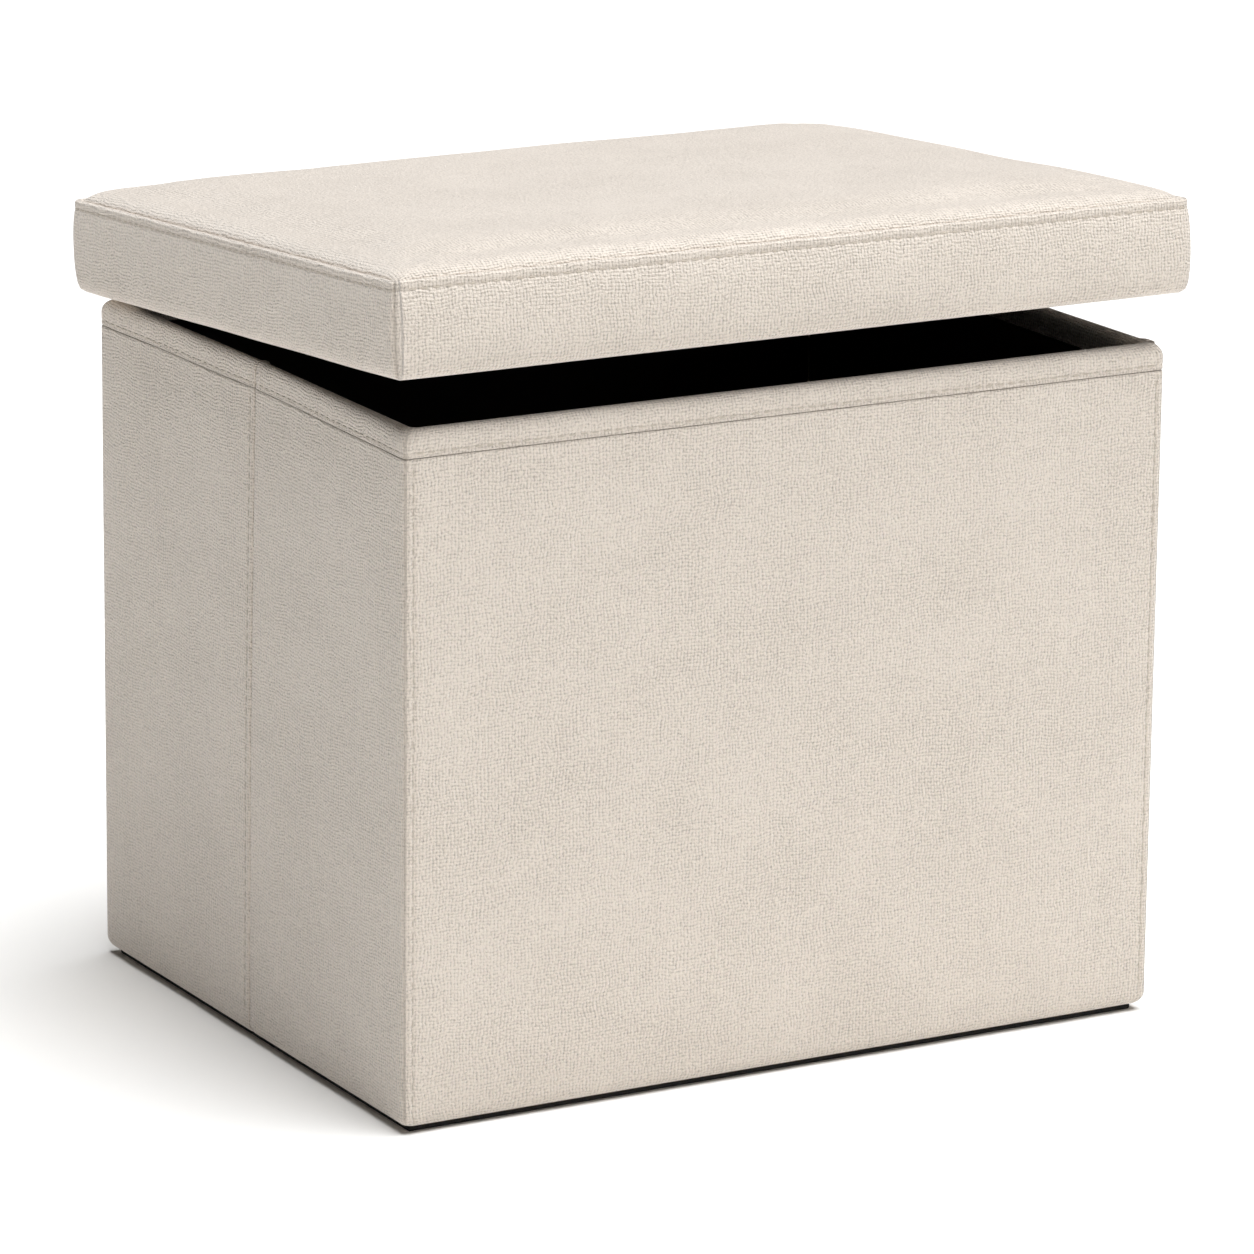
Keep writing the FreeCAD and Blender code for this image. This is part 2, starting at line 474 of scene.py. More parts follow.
def smooth_step(value: np.ndarray) -> np.ndarray:
    """A smooth rise from 0 to 1 as value goes from 0 to 1."""
    held = np.clip(value, 0.0, 1.0)
    return held * held * (3.0 - 2.0 * held)


def groove(distance: np.ndarray, width: float) -> np.ndarray:
    """A soft notch: 1 on the line, falling to nothing a few widths away."""
    return np.exp(-(distance / width) ** 2)


def spread(start: float, stop: float, step: float, fine: Sequence[float] = ()) -> np.ndarray:
    """Stations from start to stop, about a step apart, with finer ones near given places.

    Args:
        start: the first station.
        stop: the last station.
        step: the usual gap.
        fine: places that get closely spaced stations around them.

    Returns:
        The stations, in order.
    """
    offsets = np.array([-6.0, -4.0, -2.6, -1.7, -1.0, -0.5, 0.0, 0.5, 1.0, 1.7, 2.6, 4.0, 6.0]) * MM
    places = [np.linspace(start, stop, max(2, int(round((stop - start) / step)) + 1))]
    places += [offsets + place for place in fine]
    merged = np.unique(np.round(np.clip(np.concatenate(places), start, stop), 6))
    keep = np.concatenate([[True], np.diff(merged) > 0.25 * MM])
    keep[-1] = True
    return merged[keep]


def surface_normals(points: Grid, loop: bool) -> Grid:
    """Unit normals of a grid of points, from its two directions.

    Args:
        points: rows along u and columns along v, three numbers each.
        loop: whether the last row joins the first.

    Returns:
        A grid of unit vectors.
    """
    if loop:
        along = np.roll(points, -1, axis=0) - np.roll(points, 1, axis=0)
    else:
        along = np.gradient(points, axis=0)
    across = np.gradient(points, axis=1)
    normal = np.cross(along, across)
    return normal / np.maximum(np.linalg.norm(normal, axis=2, keepdims=True), 1e-12)


@dataclass
class ClothSheet:
    """A closed piece of cloth of one thickness, drawn as a grid of points on its good side."""

    name: str
    points: Grid
    along: np.ndarray
    across: np.ndarray
    thickness: float
    loop: bool = False
    # marks: painted seam shade, 0 to 1, kept on the mesh for the linen.
    marks: Optional[Grid] = None
    back: Optional[Grid] = None

    def _faces(self) -> tuple[list[tuple[int, ...]], list[tuple[float, float]]]:
        """The faces, and a place on the cloth for each of their corners."""
        rows, columns = self.points.shape[:2]
        count = rows * columns
        steps = rows if self.loop else rows - 1
        length = self.along[-1] + (self.along[1] - self.along[0])
        faces: list[tuple[int, ...]] = []
        places: list[tuple[float, float]] = []

        def add(corners: Sequence[tuple[int, int, int]]) -> None:
            """Add a face from (row, column, side) corners."""
            faces.append(tuple((row % rows) * columns + column + side * count
                               for row, column, side in corners))
            for row, column, side in corners:
                u = self.along[row] if row < rows else length
                places.append((u, self.across[column] + side * self.thickness))

        for i in range(steps):
            for j in range(columns - 1):
                add([(i, j, 0), (i + 1, j, 0), (i + 1, j + 1, 0), (i, j + 1, 0)])
                add([(i, j, 1), (i, j + 1, 1), (i + 1, j + 1, 1), (i + 1, j, 1)])
            last = columns - 1
            add([(i, 0, 0), (i, 0, 1), (i + 1, 0, 1), (i + 1, 0, 0)])
            add([(i, last, 0), (i + 1, last, 0), (i + 1, last, 1), (i, last, 1)])
        if not self.loop:
            end = rows - 1
            for j in range(columns - 1):
                add([(0, j, 0), (0, j + 1, 0), (0, j + 1, 1), (0, j, 1)])
                add([(end, j, 0), (end, j, 1), (end, j + 1, 1), (end, j + 1, 0)])
        return faces, places

    def build(self, material: bpy.types.Material) -> bpy.types.Object:
        """Make the mesh object.

        Args:
            material: the finish of the whole piece.

        Returns:
            The new object, linked to the scene.
        """
        back = self.back
        if back is None:
            back = self.points - surface_normals(self.points, self.loop) * self.thickness
        vertices = np.concatenate([self.points.reshape(-1, 3), back.reshape(-1, 3)])
        faces, places = self._faces()
        made = mesh_object(self.name, vertices, faces, material)
        layer = made.data.uv_layers.new(name=WEAVE_UV)
        layer.data.foreach_set("uv", np.array(places, np.float32).ravel())
        # Painted seam shade, per point, on both sides of the cloth.
        marks = self.marks if self.marks is not None else np.zeros(self.points.shape[:2])
        mark = made.data.attributes.new(SEAM_SHADE_MARK, "FLOAT", "POINT")
        mark.data.foreach_set("value", np.tile(marks.ravel(), 2).astype(np.float32))
        made.data.set_sharp_from_angle(angle=math.radians(50.0))
        return made


def mesh_object(name: str, vertices: np.ndarray, faces: Sequence[Sequence[int]],
                material: bpy.types.Material) -> bpy.types.Object:
    """A smooth-shaded mesh object in the scene."""
    mesh = bpy.data.meshes.new(name)
    mesh.from_pydata(vertices.tolist(), [], faces)
    mesh.materials.append(material)
    mesh.polygons.foreach_set("use_smooth", np.ones(len(mesh.polygons), bool))
    mesh.update()
    made = bpy.data.objects.new(name, mesh)
    bpy.context.scene.collection.objects.link(made)
    return made


@dataclass
class StitchRow:
    """A row of straight stitches, each a short thread that dives into the cloth at both ends."""

    name: str
    surface: Callable[[np.ndarray], np.ndarray]
    outward: Callable[[np.ndarray], np.ndarray]
    start: float
    stop: float
    pitch: float = 7.0 * MM
    stitch: float = 5.0 * MM
    radius: float = 0.36 * MM
    lift: float = 0.28 * MM
    dive: float = 0.55 * MM
    rings: int = 7
    sides: int = 6

    def build(self, material: bpy.types.Material) -> bpy.types.Object:
        """Make every stitch of the row as one mesh object."""
        count = max(1, int((self.stop - self.start) / self.pitch))
        first = self.start + ((self.stop - self.start) - count * self.pitch) / 2.0
        across = np.linspace(-1.0, 1.0, self.rings)
        centres = first + (np.arange(count) + 0.5) * self.pitch
        places = (centres[:, None] + across[None, :] * self.stitch / 2.0).ravel()
        on_cloth = self.surface(places)
        ahead = self.surface(places + 0.3 * MM) - self.surface(places - 0.3 * MM)
        tangent = ahead / np.linalg.norm(ahead, axis=1, keepdims=True)
        normal = self.outward(places)
        side = np.cross(tangent, normal)
        side /= np.linalg.norm(side, axis=1, keepdims=True)
        arch = np.tile((self.lift + self.dive) * (1.0 - across ** 4) - self.dive, count)
        girth = np.tile(self.radius * (1.0 - 0.5 * across ** 6), count)
        turn = np.linspace(0.0, 2.0 * math.pi, self.sides, endpoint=False)
        ring = (normal[:, None, :] * np.cos(turn)[None, :, None]
                + side[:, None, :] * np.sin(turn)[None, :, None])
        middle = on_cloth + normal * arch[:, None]
        vertices = (middle[:, None, :] + ring * girth[:, None, None]).reshape(-1, 3)
        faces: list[tuple[int, ...]] = []
        uvs: list[tuple[float, float]] = []
        for stitch in range(count):
            base = stitch * self.rings * self.sides
            for j in range(self.rings - 1):
                for k in range(self.sides):
                    following = (k + 1) % self.sides
                    low, high = base + j * self.sides, base + (j + 1) * self.sides
                    faces.append((low + k, low + following, high + following, high + k))
                    near, far = j * 0.7 * MM, (j + 1) * 0.7 * MM
                    uvs += [(near, k), (near, k + 1), (far, k + 1), (far, k)]
            tail = base + (self.rings - 1) * self.sides
            faces.append(tuple(base + k for k in reversed(range(self.sides))))
            faces.append(tuple(tail + k for k in range(self.sides)))
            uvs += [(0.0, 0.0)] * (2 * self.sides)
        made = mesh_object(self.name, vertices, faces, material)
        layer = made.data.uv_layers.new(name=WEAVE_UV)
        layer.data.foreach_set("uv", np.array(uvs, np.float32).ravel())
        return made


class Ripple:
    """A gentle, repeatable unevenness over a piece of cloth."""

    def __init__(self, seed: int, height: float, wavelength: float) -> None:
        """Choose the waves.

        Args:
            seed: the seed of the random draws.
            height: the largest likely height.
            wavelength: the shortest wave.
        """
        draw = np.random.default_rng(seed)
        self.directions = draw.uniform(-1.0, 1.0, (6, 2))
        self.directions /= np.linalg.norm(self.directions, axis=1, keepdims=True)
        lengths = wavelength * draw.uniform(1.0, 2.6, 6)
        self.waves = 2.0 * math.pi / lengths
        self.phases = draw.uniform(0.0, 2.0 * math.pi, 6)
        self.height = height / 3.0

    def at(self, along: np.ndarray, across: np.ndarray) -> np.ndarray:
        """The height at places on the cloth."""
        total = np.zeros(np.broadcast(along, across).shape)
        for (x, y), wave, phase in zip(self.directions, self.waves, self.phases):
            total = total + np.sin((along * x + across * y) * wave + phase)
        return total * self.height


# ---------------------------------------------------------------- the box


class Side(Enum):
    """The four sides of the box, with the turn that brings the front to each."""

    FRONT = 0
    RIGHT = 90
    BACK = 180
    LEFT = 270


class End(Enum):
    """How a stretch of wall ends."""

    CORNER = "mitred against the next wall, round an upright seam"
    CREASE = "turned in at the crease of an end wall"
    CUT = "cut square against the rest of the same wall"


@dataclass(frozen=True)
class BoxSizes:
    """The box's sizes, read from the frame, in metres."""

    half_width: float
    half_depth: float
    thickness: float
    cover: float
    board: float
    foot: float
    seam: float
    top: float
    base_top: float

    @classmethod
    def from_frame(cls) -> "BoxSizes":
        """Measure the front wall and the base."""
        cover_low, cover_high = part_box("front_cover")
        rim_low, rim_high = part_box("front_rim_band")
        board_low, board_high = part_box("front_board")
        return cls(half_width=cover_high.x, half_depth=-cover_low.y,
                   thickness=rim_high.y - rim_low.y, cover=board_low.y - cover_low.y,
                   board=board_high.y - board_low.y, foot=cover_low.z, seam=cover_high.z,
                   top=rim_high.z, base_top=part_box("base_lining")[1].z)


@dataclass
class Profile:
    """An outline across a wall: depth and height against the distance along the cloth."""

    distance: np.ndarray
    depth: np.ndarray
    height: np.ndarray

    @classmethod
    def through(cls, corners: Sequence[tuple[float, float]]) -> "Profile":
        """A profile through closely spaced (depth, height) points."""
        points = np.array(corners)
        steps = np.linalg.norm(np.diff(points, axis=0), axis=1)
        distance = np.concatenate([[0.0], np.cumsum(steps)])
        return cls(distance, points[:, 0], points[:, 1])

    def at(self, distance: np.ndarray) -> tuple[np.ndarray, np.ndarray]:
        """Depth and height at distances along the cloth."""
        return (np.interp(distance, self.distance, self.depth),
                np.interp(distance, self.distance, self.height))

    @property
    def length(self) -> float:
        """The whole distance along the cloth."""
        return float(self.distance[-1])


def arc(centre: tuple[float, float], radius: tuple[float, float], start: float, stop: float,
        steps: int = 10) -> list[tuple[float, float]]:
    """Points on an elliptical arc, with angles in degrees from the inward direction, upwards."""
    angles = np.radians(np.linspace(start, stop, steps))
    return [(centre[0] + radius[0] * math.cos(a), centre[1] + radius[1] * math.sin(a)) for a in angles]


@dataclass
class WallStretch:
    """A stretch of one wall between two ends, with its linen, rim band and lining."""

    name: str
    side: Side
    start: float
    stop: float
    ends: tuple[End, End]
    sizes: BoxSizes
    seed: int
    bow: float = 0.0
    corner_radius: float = 5.0 * MM
    crease_radius: float = 2.4 * MM
    bottom_radius: float = 7.0 * MM
    seam_curl: float = 0.9 * MM
    cloth: float = 1.0 * MM
    puff: float = 1.1 * MM
    corner_row: float = 5.2 * MM
    crease_row: float = 6.0 * MM
    rim_row: float = 3.3 * MM

    def __post_init__(self) -> None:
        """Draw the two outlines and choose the unevenness."""
        self.face = self._face_profile()
        self.rim = self._rim_profile()
        self.ripple = Ripple(self.seed, 0.35 * MM, 60.0 * MM)
        self.angle = math.radians(self.side.value)

    def _face_profile(self) -> Profile:
        """From under the board, round the bottom edge and up to the rim seam."""
        sizes, low = self.sizes, self.bottom_radius
        points = [(sizes.cover + 7.0 * MM, sizes.foot + 0.2 * MM)]
        points += arc((low, sizes.foot + low), (low, low), 270.0, 180.0)
        points += [(0.0, z) for z in np.linspace(sizes.foot + low + 4.0 * MM,
                                                 sizes.seam - 4.0 * MM, 12)]
        curl = self.seam_curl
        points += arc((curl, sizes.seam - curl - 0.08 * MM), (curl, curl), 180.0, 90.0, 6)
        return Profile.through(points)

    def _rim_profile(self) -> Profile:
        """From the seam up the outside, over the top and down the inside."""
        sizes, curl = self.sizes, self.seam_curl
        half = sizes.thickness / 2.0
        points = arc((curl, sizes.seam + curl + 0.08 * MM), (curl, curl), 270.0, 180.0, 6)
        points += [(0.0, z) for z in np.linspace(sizes.seam + 2.4 * MM, sizes.top - half, 5)]
        points += arc((half, sizes.top - half), (half, half), 178.0, 2.0, 17)
        points += [(sizes.thickness, z) for z in np.linspace(sizes.top - half - 1.0 * MM,
                                                            sizes.seam + 1.0 * MM, 4)]
        return Profile.through(points)

    def _from_end(self, kind: End, gone: np.ndarray) -> tuple[np.ndarray, np.ndarray, np.ndarray]:
        """Where a distance along the cloth from an end comes to.

        Args:
            kind: how the wall ends there.
            gone: distances along the cloth from that end.

        Returns:
            The distance along the wall, the depth that the turn adds, and the mitre's slant.
        """
        if kind is End.CUT:
            return gone, np.zeros_like(gone), np.zeros_like(gone)
        if kind is End.CORNER:
            radius, sweep, reach = self.corner_radius, math.pi / 4.0, 60.0 * MM
        else:
            radius, sweep, reach = self.crease_radius, math.pi / 2.0, 0.0
        left = np.clip(sweep - gone / radius, 0.0, sweep)
        along = np.where(gone < radius * sweep, radius * (1.0 - np.sin(left)),
                         radius + gone - radius * sweep)
        depth = radius * (1.0 - np.cos(left))
        slant = np.clip(1.0 - gone / reach, 0.0, 1.0) if reach else np.zeros_like(gone)
        return along, depth, slant

    def _turn_loss(self, kind: End) -> float:
        """How much longer the cloth is than the wall, for turning at an end."""
        if kind is End.CORNER:
            return self.corner_radius * (math.pi / 4.0 - 1.0)
        if kind is End.CREASE:
            return self.crease_radius * (math.pi / 2.0 - 1.0)
        return 0.0

    @property
    def cloth_length(self) -> float:
        """The distance along the cloth from end to end."""
        return self.stop - self.start + sum(self._turn_loss(kind) for kind in self.ends)

    def place(self, along: np.ndarray, depth: np.ndarray, height: np.ndarray) -> np.ndarray:
        """Turn wall coordinates into the frame's."""
        across = self.sizes.half_depth if self.side in (Side.FRONT, Side.BACK) else self.sizes.half_width
        out = across - depth
        x = along * math.cos(self.angle) + out * math.sin(self.angle)
        y = along * math.sin(self.angle) - out * math.cos(self.angle)
        return np.stack(np.broadcast_arrays(x, y, height), axis=-1)

    def bowed(self, along: np.ndarray, height: np.ndarray) -> np.ndarray:
        """How far the linen of an end wall is drawn in near its crease, most at the top."""
        if self.bow == 0.0:
            return np.zeros(np.broadcast(along, height).shape)
        reach = self.sizes.half_depth - self.sizes.thickness
        share = np.clip(1.0 - np.abs(along) / reach, 0.0, 1.0)
        rise = np.clip(height / self.sizes.top, 0.0, 1.0) ** 1.6
        return self.bow * rise * share

    def cloth_point(self, gone: np.ndarray, distance: np.ndarray, profile: Profile) -> np.ndarray:
        """A point on the good side of the linen.

        Args:
            gone: distance along the cloth from the stretch's start.
            distance: distance along the profile.
            profile: the outline in use.

        Returns:
            Points in the frame.
        """
        gone, distance = np.broadcast_arrays(gone, distance)
        total = self.cloth_length
        near, near_depth, near_slant = self._from_end(self.ends[0], gone)
        far, far_depth, far_slant = self._from_end(self.ends[1], total - gone)
        depth, height = profile.at(distance)
        first_half = gone < total / 2.0
        along = np.where(first_half, self.start + near + depth * near_slant,
                         self.stop - far - depth * far_slant)
        turned = near_depth + far_depth
        outside = np.clip(1.0 - depth / (4.0 * MM), 0.0, 1.0)
        along_share = self._edge_share(gone, total)
        height_share = smooth_step((height - self.sizes.foot) / (26.0 * MM)) \
            * smooth_step((self.sizes.seam - height) / (30.0 * MM))
        if profile is self.rim:
            height_share = np.zeros_like(height)
        puffed = self.puff * (1.0 - along_share * height_share)
        rows = sum(groove(gone - row, 0.8 * MM) for row in self.upright_rows()) * 0.40 * MM
        if profile is self.rim:
            rows = rows + groove(distance - self.rim_row, 0.8 * MM) * 0.35 * MM
        uneven = (self.ripple.at(along, height) + 0.35 * MM) * (0.25 + 0.75 * along_share)
        lean = self.bowed(along, height) * (1.0 - np.clip(depth / self.sizes.thickness, 0.0, 1.0))
        inside = depth + turned + (puffed * 0.7 + rows + uneven) * outside + lean
        return self.place(along, inside, height)

    @staticmethod
    def _edge_share(gone: np.ndarray, total: float) -> np.ndarray:
        """0 at both ends of the cloth and 1 away from them."""
        return smooth_step(gone / (30.0 * MM)) * smooth_step((total - gone) / (30.0 * MM))

    def upright_rows(self) -> list[float]:
        """Distances along the cloth of the upright rows of stitches."""
        rows = []
        total = self.cloth_length
        for kind, at_start in zip(self.ends, (True, False)):
            if kind is End.CORNER and self.side in (Side.FRONT, Side.BACK):
                rows.append(self.corner_row if at_start else total - self.corner_row)
            if kind is End.CREASE and not self.name.endswith("front"):
                rows.append(self.crease_row if at_start else total - self.crease_row)
        return rows

    def _painted_seam_shade(self, gone: np.ndarray, distance: np.ndarray, profile: Profile) -> Grid:
        """Painted shade in the linen's seams: its closed ends, its upright stitch rows, and the rim seam
        and rim stitch row.
        """
        total = self.cloth_length
        closed = [0.0 if kind is End.CUT else 1.0 for kind in self.ends]
        ends = closed[0] * groove(gone, 0.9 * MM) + closed[1] * groove(total - gone, 0.9 * MM)
        rows = sum(groove(gone - row, 0.6 * MM) for row in self.upright_rows()) * 0.40
        if profile is self.rim:
            lines = groove(distance, 1.1 * MM) + groove(distance - self.rim_row, 0.6 * MM) * 0.3
        else:
            lines = groove(profile.length - distance, 1.1 * MM)
        return np.clip(ends + rows + lines, 0.0, 1.0)

    def linen(self, material: bpy.types.Material) -> bpy.types.Object:
        """The linen on the outer face."""
        return self._cloth_piece(self.name + "_linen", self.face, material,
                                 spread(0.0, self.face.length, 9.0 * MM,
                                        [self.face.length, 4.0 * MM, 14.0 * MM]))

    def rim_band(self, material: bpy.types.Material) -> bpy.types.Object:
        """The padded band over the top."""
        return self._cloth_piece(self.name + "_rim", self.rim, material,
                                 spread(0.0, self.rim.length, 1.6 * MM, [0.0, self.rim_row]))

    def _cloth_piece(self, name: str, profile: Profile, material: bpy.types.Material,
                     distance: np.ndarray) -> bpy.types.Object:
        """One linen piece along a profile."""
        total = self.cloth_length
        gone = spread(0.0, total, 8.0 * MM, [0.0, total, *self.upright_rows()])
        points = self.cloth_point(gone[:, None], distance[None, :], profile)
        marks = self._painted_seam_shade(gone[:, None], distance[None, :], profile)
        return ClothSheet(name, points, gone + self.seed * 0.137, distance, self.cloth,
                          marks=marks).build(material)

    def flat_sheet(self, name: str, depth: float, thickness: float, bottom: float, top: float,
                   inset: float, material: bpy.types.Material, faces_in: bool) -> bpy.types.Object:
        """A flat layer inside the wall, such as its board or its lining."""
        low, high = self.start + inset, self.stop - inset
        along = spread(low, high, 22.0 * MM)
        height = spread(bottom, top, 22.0 * MM)
        edge = smooth_step((along - low) / (14.0 * MM)) * smooth_step((high - along) / (14.0 * MM))
        uneven = np.abs(self.ripple.at(along[:, None], height[None, :])) * edge[:, None]
        uneven = uneven * (1.0 if faces_in else 0.0)
        points = self.place(along[:, None], depth - uneven, height[None, :])
        if faces_in:
            points = points[::-1]
        return ClothSheet(name, points, along, height, thickness).build(material)

    def stitches(self, label: str, path: Callable[[np.ndarray], np.ndarray], start: float, stop: float,
                 material: bpy.types.Material) -> bpy.types.Object:
        """A row of stitches on this wall's outer face."""
        outward = self.place(np.zeros(1), np.array([-1.0]), np.zeros(1)) \
            - self.place(np.zeros(1), np.zeros(1), np.zeros(1))
        return StitchRow(self.name + "_" + label, path, lambda places: np.repeat(outward, len(places), 0),
                         start, stop).build(material)

    def rim_stitches(self, material: bpy.types.Material) -> bpy.types.Object:
        """The row just above the rim seam."""
        row = np.array(self.rim_row)
        return self.stitches("rim_stitches", lambda gone: self.cloth_point(gone, row, self.rim),
                             4.0 * MM, self.cloth_length - 4.0 * MM, material)

    def upright_stitches(self, index: int, gone: float, material: bpy.types.Material) -> bpy.types.Object:
        """A row up the wall beside a corner or the crease."""
        return self.stitches("upright_stitches_%d" % index,
                             lambda distance: self.cloth_point(np.array(gone), distance, self.face),
                             18.0 * MM, self.face.length - 2.0 * MM, material)


def attach(piece: bpy.types.Object, body: str,
           corner: Optional[tuple[str, tuple[Vector, Vector]]] = None) -> bpy.types.Object:
    """Make a piece follow its body, or bake it where it stands when a corner is given.

    Args:
        piece: the finished piece.
        body: the body that it rides on.
        corner: when given, the piece is baked where it stands instead; the second body and the two points
            are not used.

    Returns:
        The piece.
    """
    if corner is None:
        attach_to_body(piece, body)
    else:
        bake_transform(piece)
    LOG.info("piece %s: %d points on %s", piece.name, len(piece.data.vertices), body)
    return piece


@dataclass
class Box:
    """The folding box: two long walls, four half end walls and the base."""

    sizes: BoxSizes
    finishes: Finishes
    bow: float = 5.5 * MM
    board_give: float = 0.6
    slit: float = 0.25 * MM

    def _stretches(self) -> list[tuple[str, WallStretch, Optional[str]]]:
        """Every stretch of wall, with its body and the body across its corner joint."""
        width, depth = self.sizes.half_width, self.sizes.half_depth
        inner = depth - self.sizes.thickness
        corner, crease, cut = End.CORNER, End.CREASE, End.CUT

        def stretch(name: str, side: Side, start: float, stop: float, ends: tuple[End, End],
                    seed: int) -> WallStretch:
            """One stretch; the linen of the end walls is drawn in at the crease."""
            bow = self.bow if side in (Side.LEFT, Side.RIGHT) else 0.0
            return WallStretch(name, side, start, stop, ends, self.sizes, seed, bow)

        return [
            ("front_wall", stretch("front", Side.FRONT, -width, width, (corner, corner), 1), None),
            ("back_wall", stretch("back", Side.BACK, -width, width, (corner, corner), 2), None),
            ("left_front_panel",
             stretch("left_front", Side.LEFT, self.slit, depth, (crease, corner), 3), "front_wall"),
            ("left_rear_panel",
             stretch("left_rear", Side.LEFT, -depth, -self.slit, (corner, crease), 4), "back_wall"),
            ("right_rear_panel",
             stretch("right_rear", Side.RIGHT, self.slit, depth, (crease, corner), 5), "back_wall"),
            ("right_front_panel",
             stretch("right_front", Side.RIGHT, -inner, -self.slit, (cut, crease), 6), None),
            ("front_wall",
             stretch("right_front_end", Side.RIGHT, -depth, -inner, (corner, cut), 6), None),
        ]

    def _bend(self, wall: WallStretch,
              towards: Optional[str]) -> Optional[tuple[str, tuple[Vector, Vector]]]:
        """The stretch of an end wall's cloth that turns round the corner joint."""
        if towards is None:
            return None
        sign = 1.0 if towards == "back_wall" else -1.0
        inner = self.sizes.half_depth - self.sizes.thickness
        x = math.copysign(self.sizes.half_width, -1.0 if wall.side is Side.LEFT else 1.0)
        middle = self.sizes.top / 2.0
        return towards, (Vector((x, sign * (inner - 7.0 * MM), middle)),
                         Vector((x, sign * (inner + 0.5 * MM), middle)))

    def build(self) -> None:
        """Make all the walls, then the base."""
        for body, wall, towards in self._stretches():
            self._dress_wall(body, wall, towards)
        self._crease_linings()
        self._base()

    def _dress_wall(self, body: str, wall: WallStretch, towards: Optional[str]) -> None:
        """Linen, rim band, lining, board and stitches of one stretch."""
        bend = self._bend(wall, towards)
        linen = attach(wall.linen(self.finishes.linen), body, bend)
        rim = attach(wall.rim_band(self.finishes.linen), body, bend)
        attach(wall.rim_stitches(self.finishes.thread), body, bend)
        for index, gone in enumerate(wall.upright_rows()):
            attach(wall.upright_stitches(index, gone, self.finishes.thread), body, bend)
        if wall.name == "right_front_end":
            return
        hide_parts(wall.name + "_cover")
        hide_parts(wall.name + "_rim_band")
        self._lining(body, wall)
        self._board(body, wall)

    def _inner_stretch(self, wall: WallStretch) -> WallStretch:
        """The part of a stretch between the inner corners."""
        across = self.sizes.half_width if wall.side in (Side.FRONT, Side.BACK) else self.sizes.half_depth
        limit = across - self.sizes.thickness - 0.5 * MM
        return WallStretch(wall.name, wall.side, max(wall.start, -limit), min(wall.stop, limit),
                           (End.CUT, End.CUT), self.sizes, wall.seed)

    def _lining(self, body: str, wall: WallStretch) -> None:
        """The dark cloth on the inside of a wall."""
        inner = self._inner_stretch(wall)
        name = wall.name + "_lining_cloth"
        bottom = self.sizes.base_top + 0.5 * MM
        top = self.sizes.seam + 1.2 * MM
        piece = inner.flat_sheet(name, self.sizes.thickness - 0.3 * MM, 1.0 * MM, bottom, top, 0.2 * MM,
                                 self.finishes.lining, True)
        attach(piece, body)
        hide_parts(wall.name + "_lining")
        inner.stop - inner.start

    def _board(self, body: str, wall: WallStretch) -> None:
        """The board inside a wall, above its rounded lower edge."""
        inner = self._inner_stretch(wall)
        spare = wall.bow * self.board_give
        piece = inner.flat_sheet(wall.name + "_panel_board", self.sizes.cover + 1.0 * MM + spare,
                                 self.sizes.board - 1.8 * MM - spare, self.sizes.foot + 4.0 * MM,
                                 self.sizes.top - 6.5 * MM, 2.6 * MM, self.finishes.board, False)
        attach(piece, body)
        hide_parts(wall.name + "_board")

    def _crease_linings(self) -> None:
        """Dark tape that bridges the two halves of each end wall inside."""
        half = 9.0 * MM
        for side, name in ((Side.LEFT, "left"), (Side.RIGHT, "right")):
            wall = WallStretch(name + "_tape", side, -half, half, (End.CUT, End.CUT), self.sizes, 9)
            bottom, top = self.sizes.base_top + 1.0 * MM, self.sizes.seam - 0.5 * MM
            along = np.linspace(-half, half, 13)
            height = spread(bottom, top, 22.0 * MM)
            inside = np.full((len(along), len(height)), self.sizes.thickness + 0.2 * MM)
            points = wall.place(along[:, None], inside,
                                np.broadcast_to(height[None, :], inside.shape))[::-1]
            piece = ClothSheet(name + "_crease_tape", points, along, height, 0.5 * MM).build(
                self.finishes.lining)
            x = (self.sizes.half_width - self.sizes.thickness) * (-1.0 if name == "left" else 1.0)
            span = (Vector((x, 8.0 * MM, 0.2)), Vector((x, -8.0 * MM, 0.2)))
            attach(piece, name + "_rear_panel", (name + "_front_panel", span))

    def _base(self) -> None:
        """The lining on the base board and the cloth wrapped round its underside."""
        low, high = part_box("base_lining")
        self._base_sheet("base_lining_cloth", "base_lining", low, high, high.z, high.z - low.z, 0.0,
                         self.finishes.lining)
        top = low.z
        low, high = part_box("base_bottom_cloth")
        level = high.z - 0.02 * MM
        self._base_sheet("base_under_cloth", "base_bottom_cloth", low, high, level,
                         level - low.z - 0.02 * MM, top - level - 0.1 * MM, self.finishes.pressed)
        paint_node("base_board", self.finishes.board)

    def _base_sheet(self, name: str, node: str, low: Vector, high: Vector, level: float,
                    thickness: float, turn_up: float, material: bpy.types.Material) -> None:
        """One cloth of the base.

        Args:
            name: the piece's name.
            node: the CAD node that it stands for.
            low: the lowest corner of the base.
            high: the highest corner of the base.
            level: the height of the cloth's upper side.
            thickness: the cloth's thickness.
            turn_up: how far its edges are turned up.
            material: its finish.
        """
        fine = [turn_up / 3.0, 2.0 * turn_up / 3.0] if turn_up else []

        def stations(start: float, stop: float) -> np.ndarray:
            """Places along one side, with the turned-up edges beyond both ends."""
            flat = spread(start, stop, 20.0 * MM)
            extra = np.array(fine + [turn_up]) if turn_up else np.zeros(0)
            return np.concatenate([start - extra[::-1], flat, stop + extra])

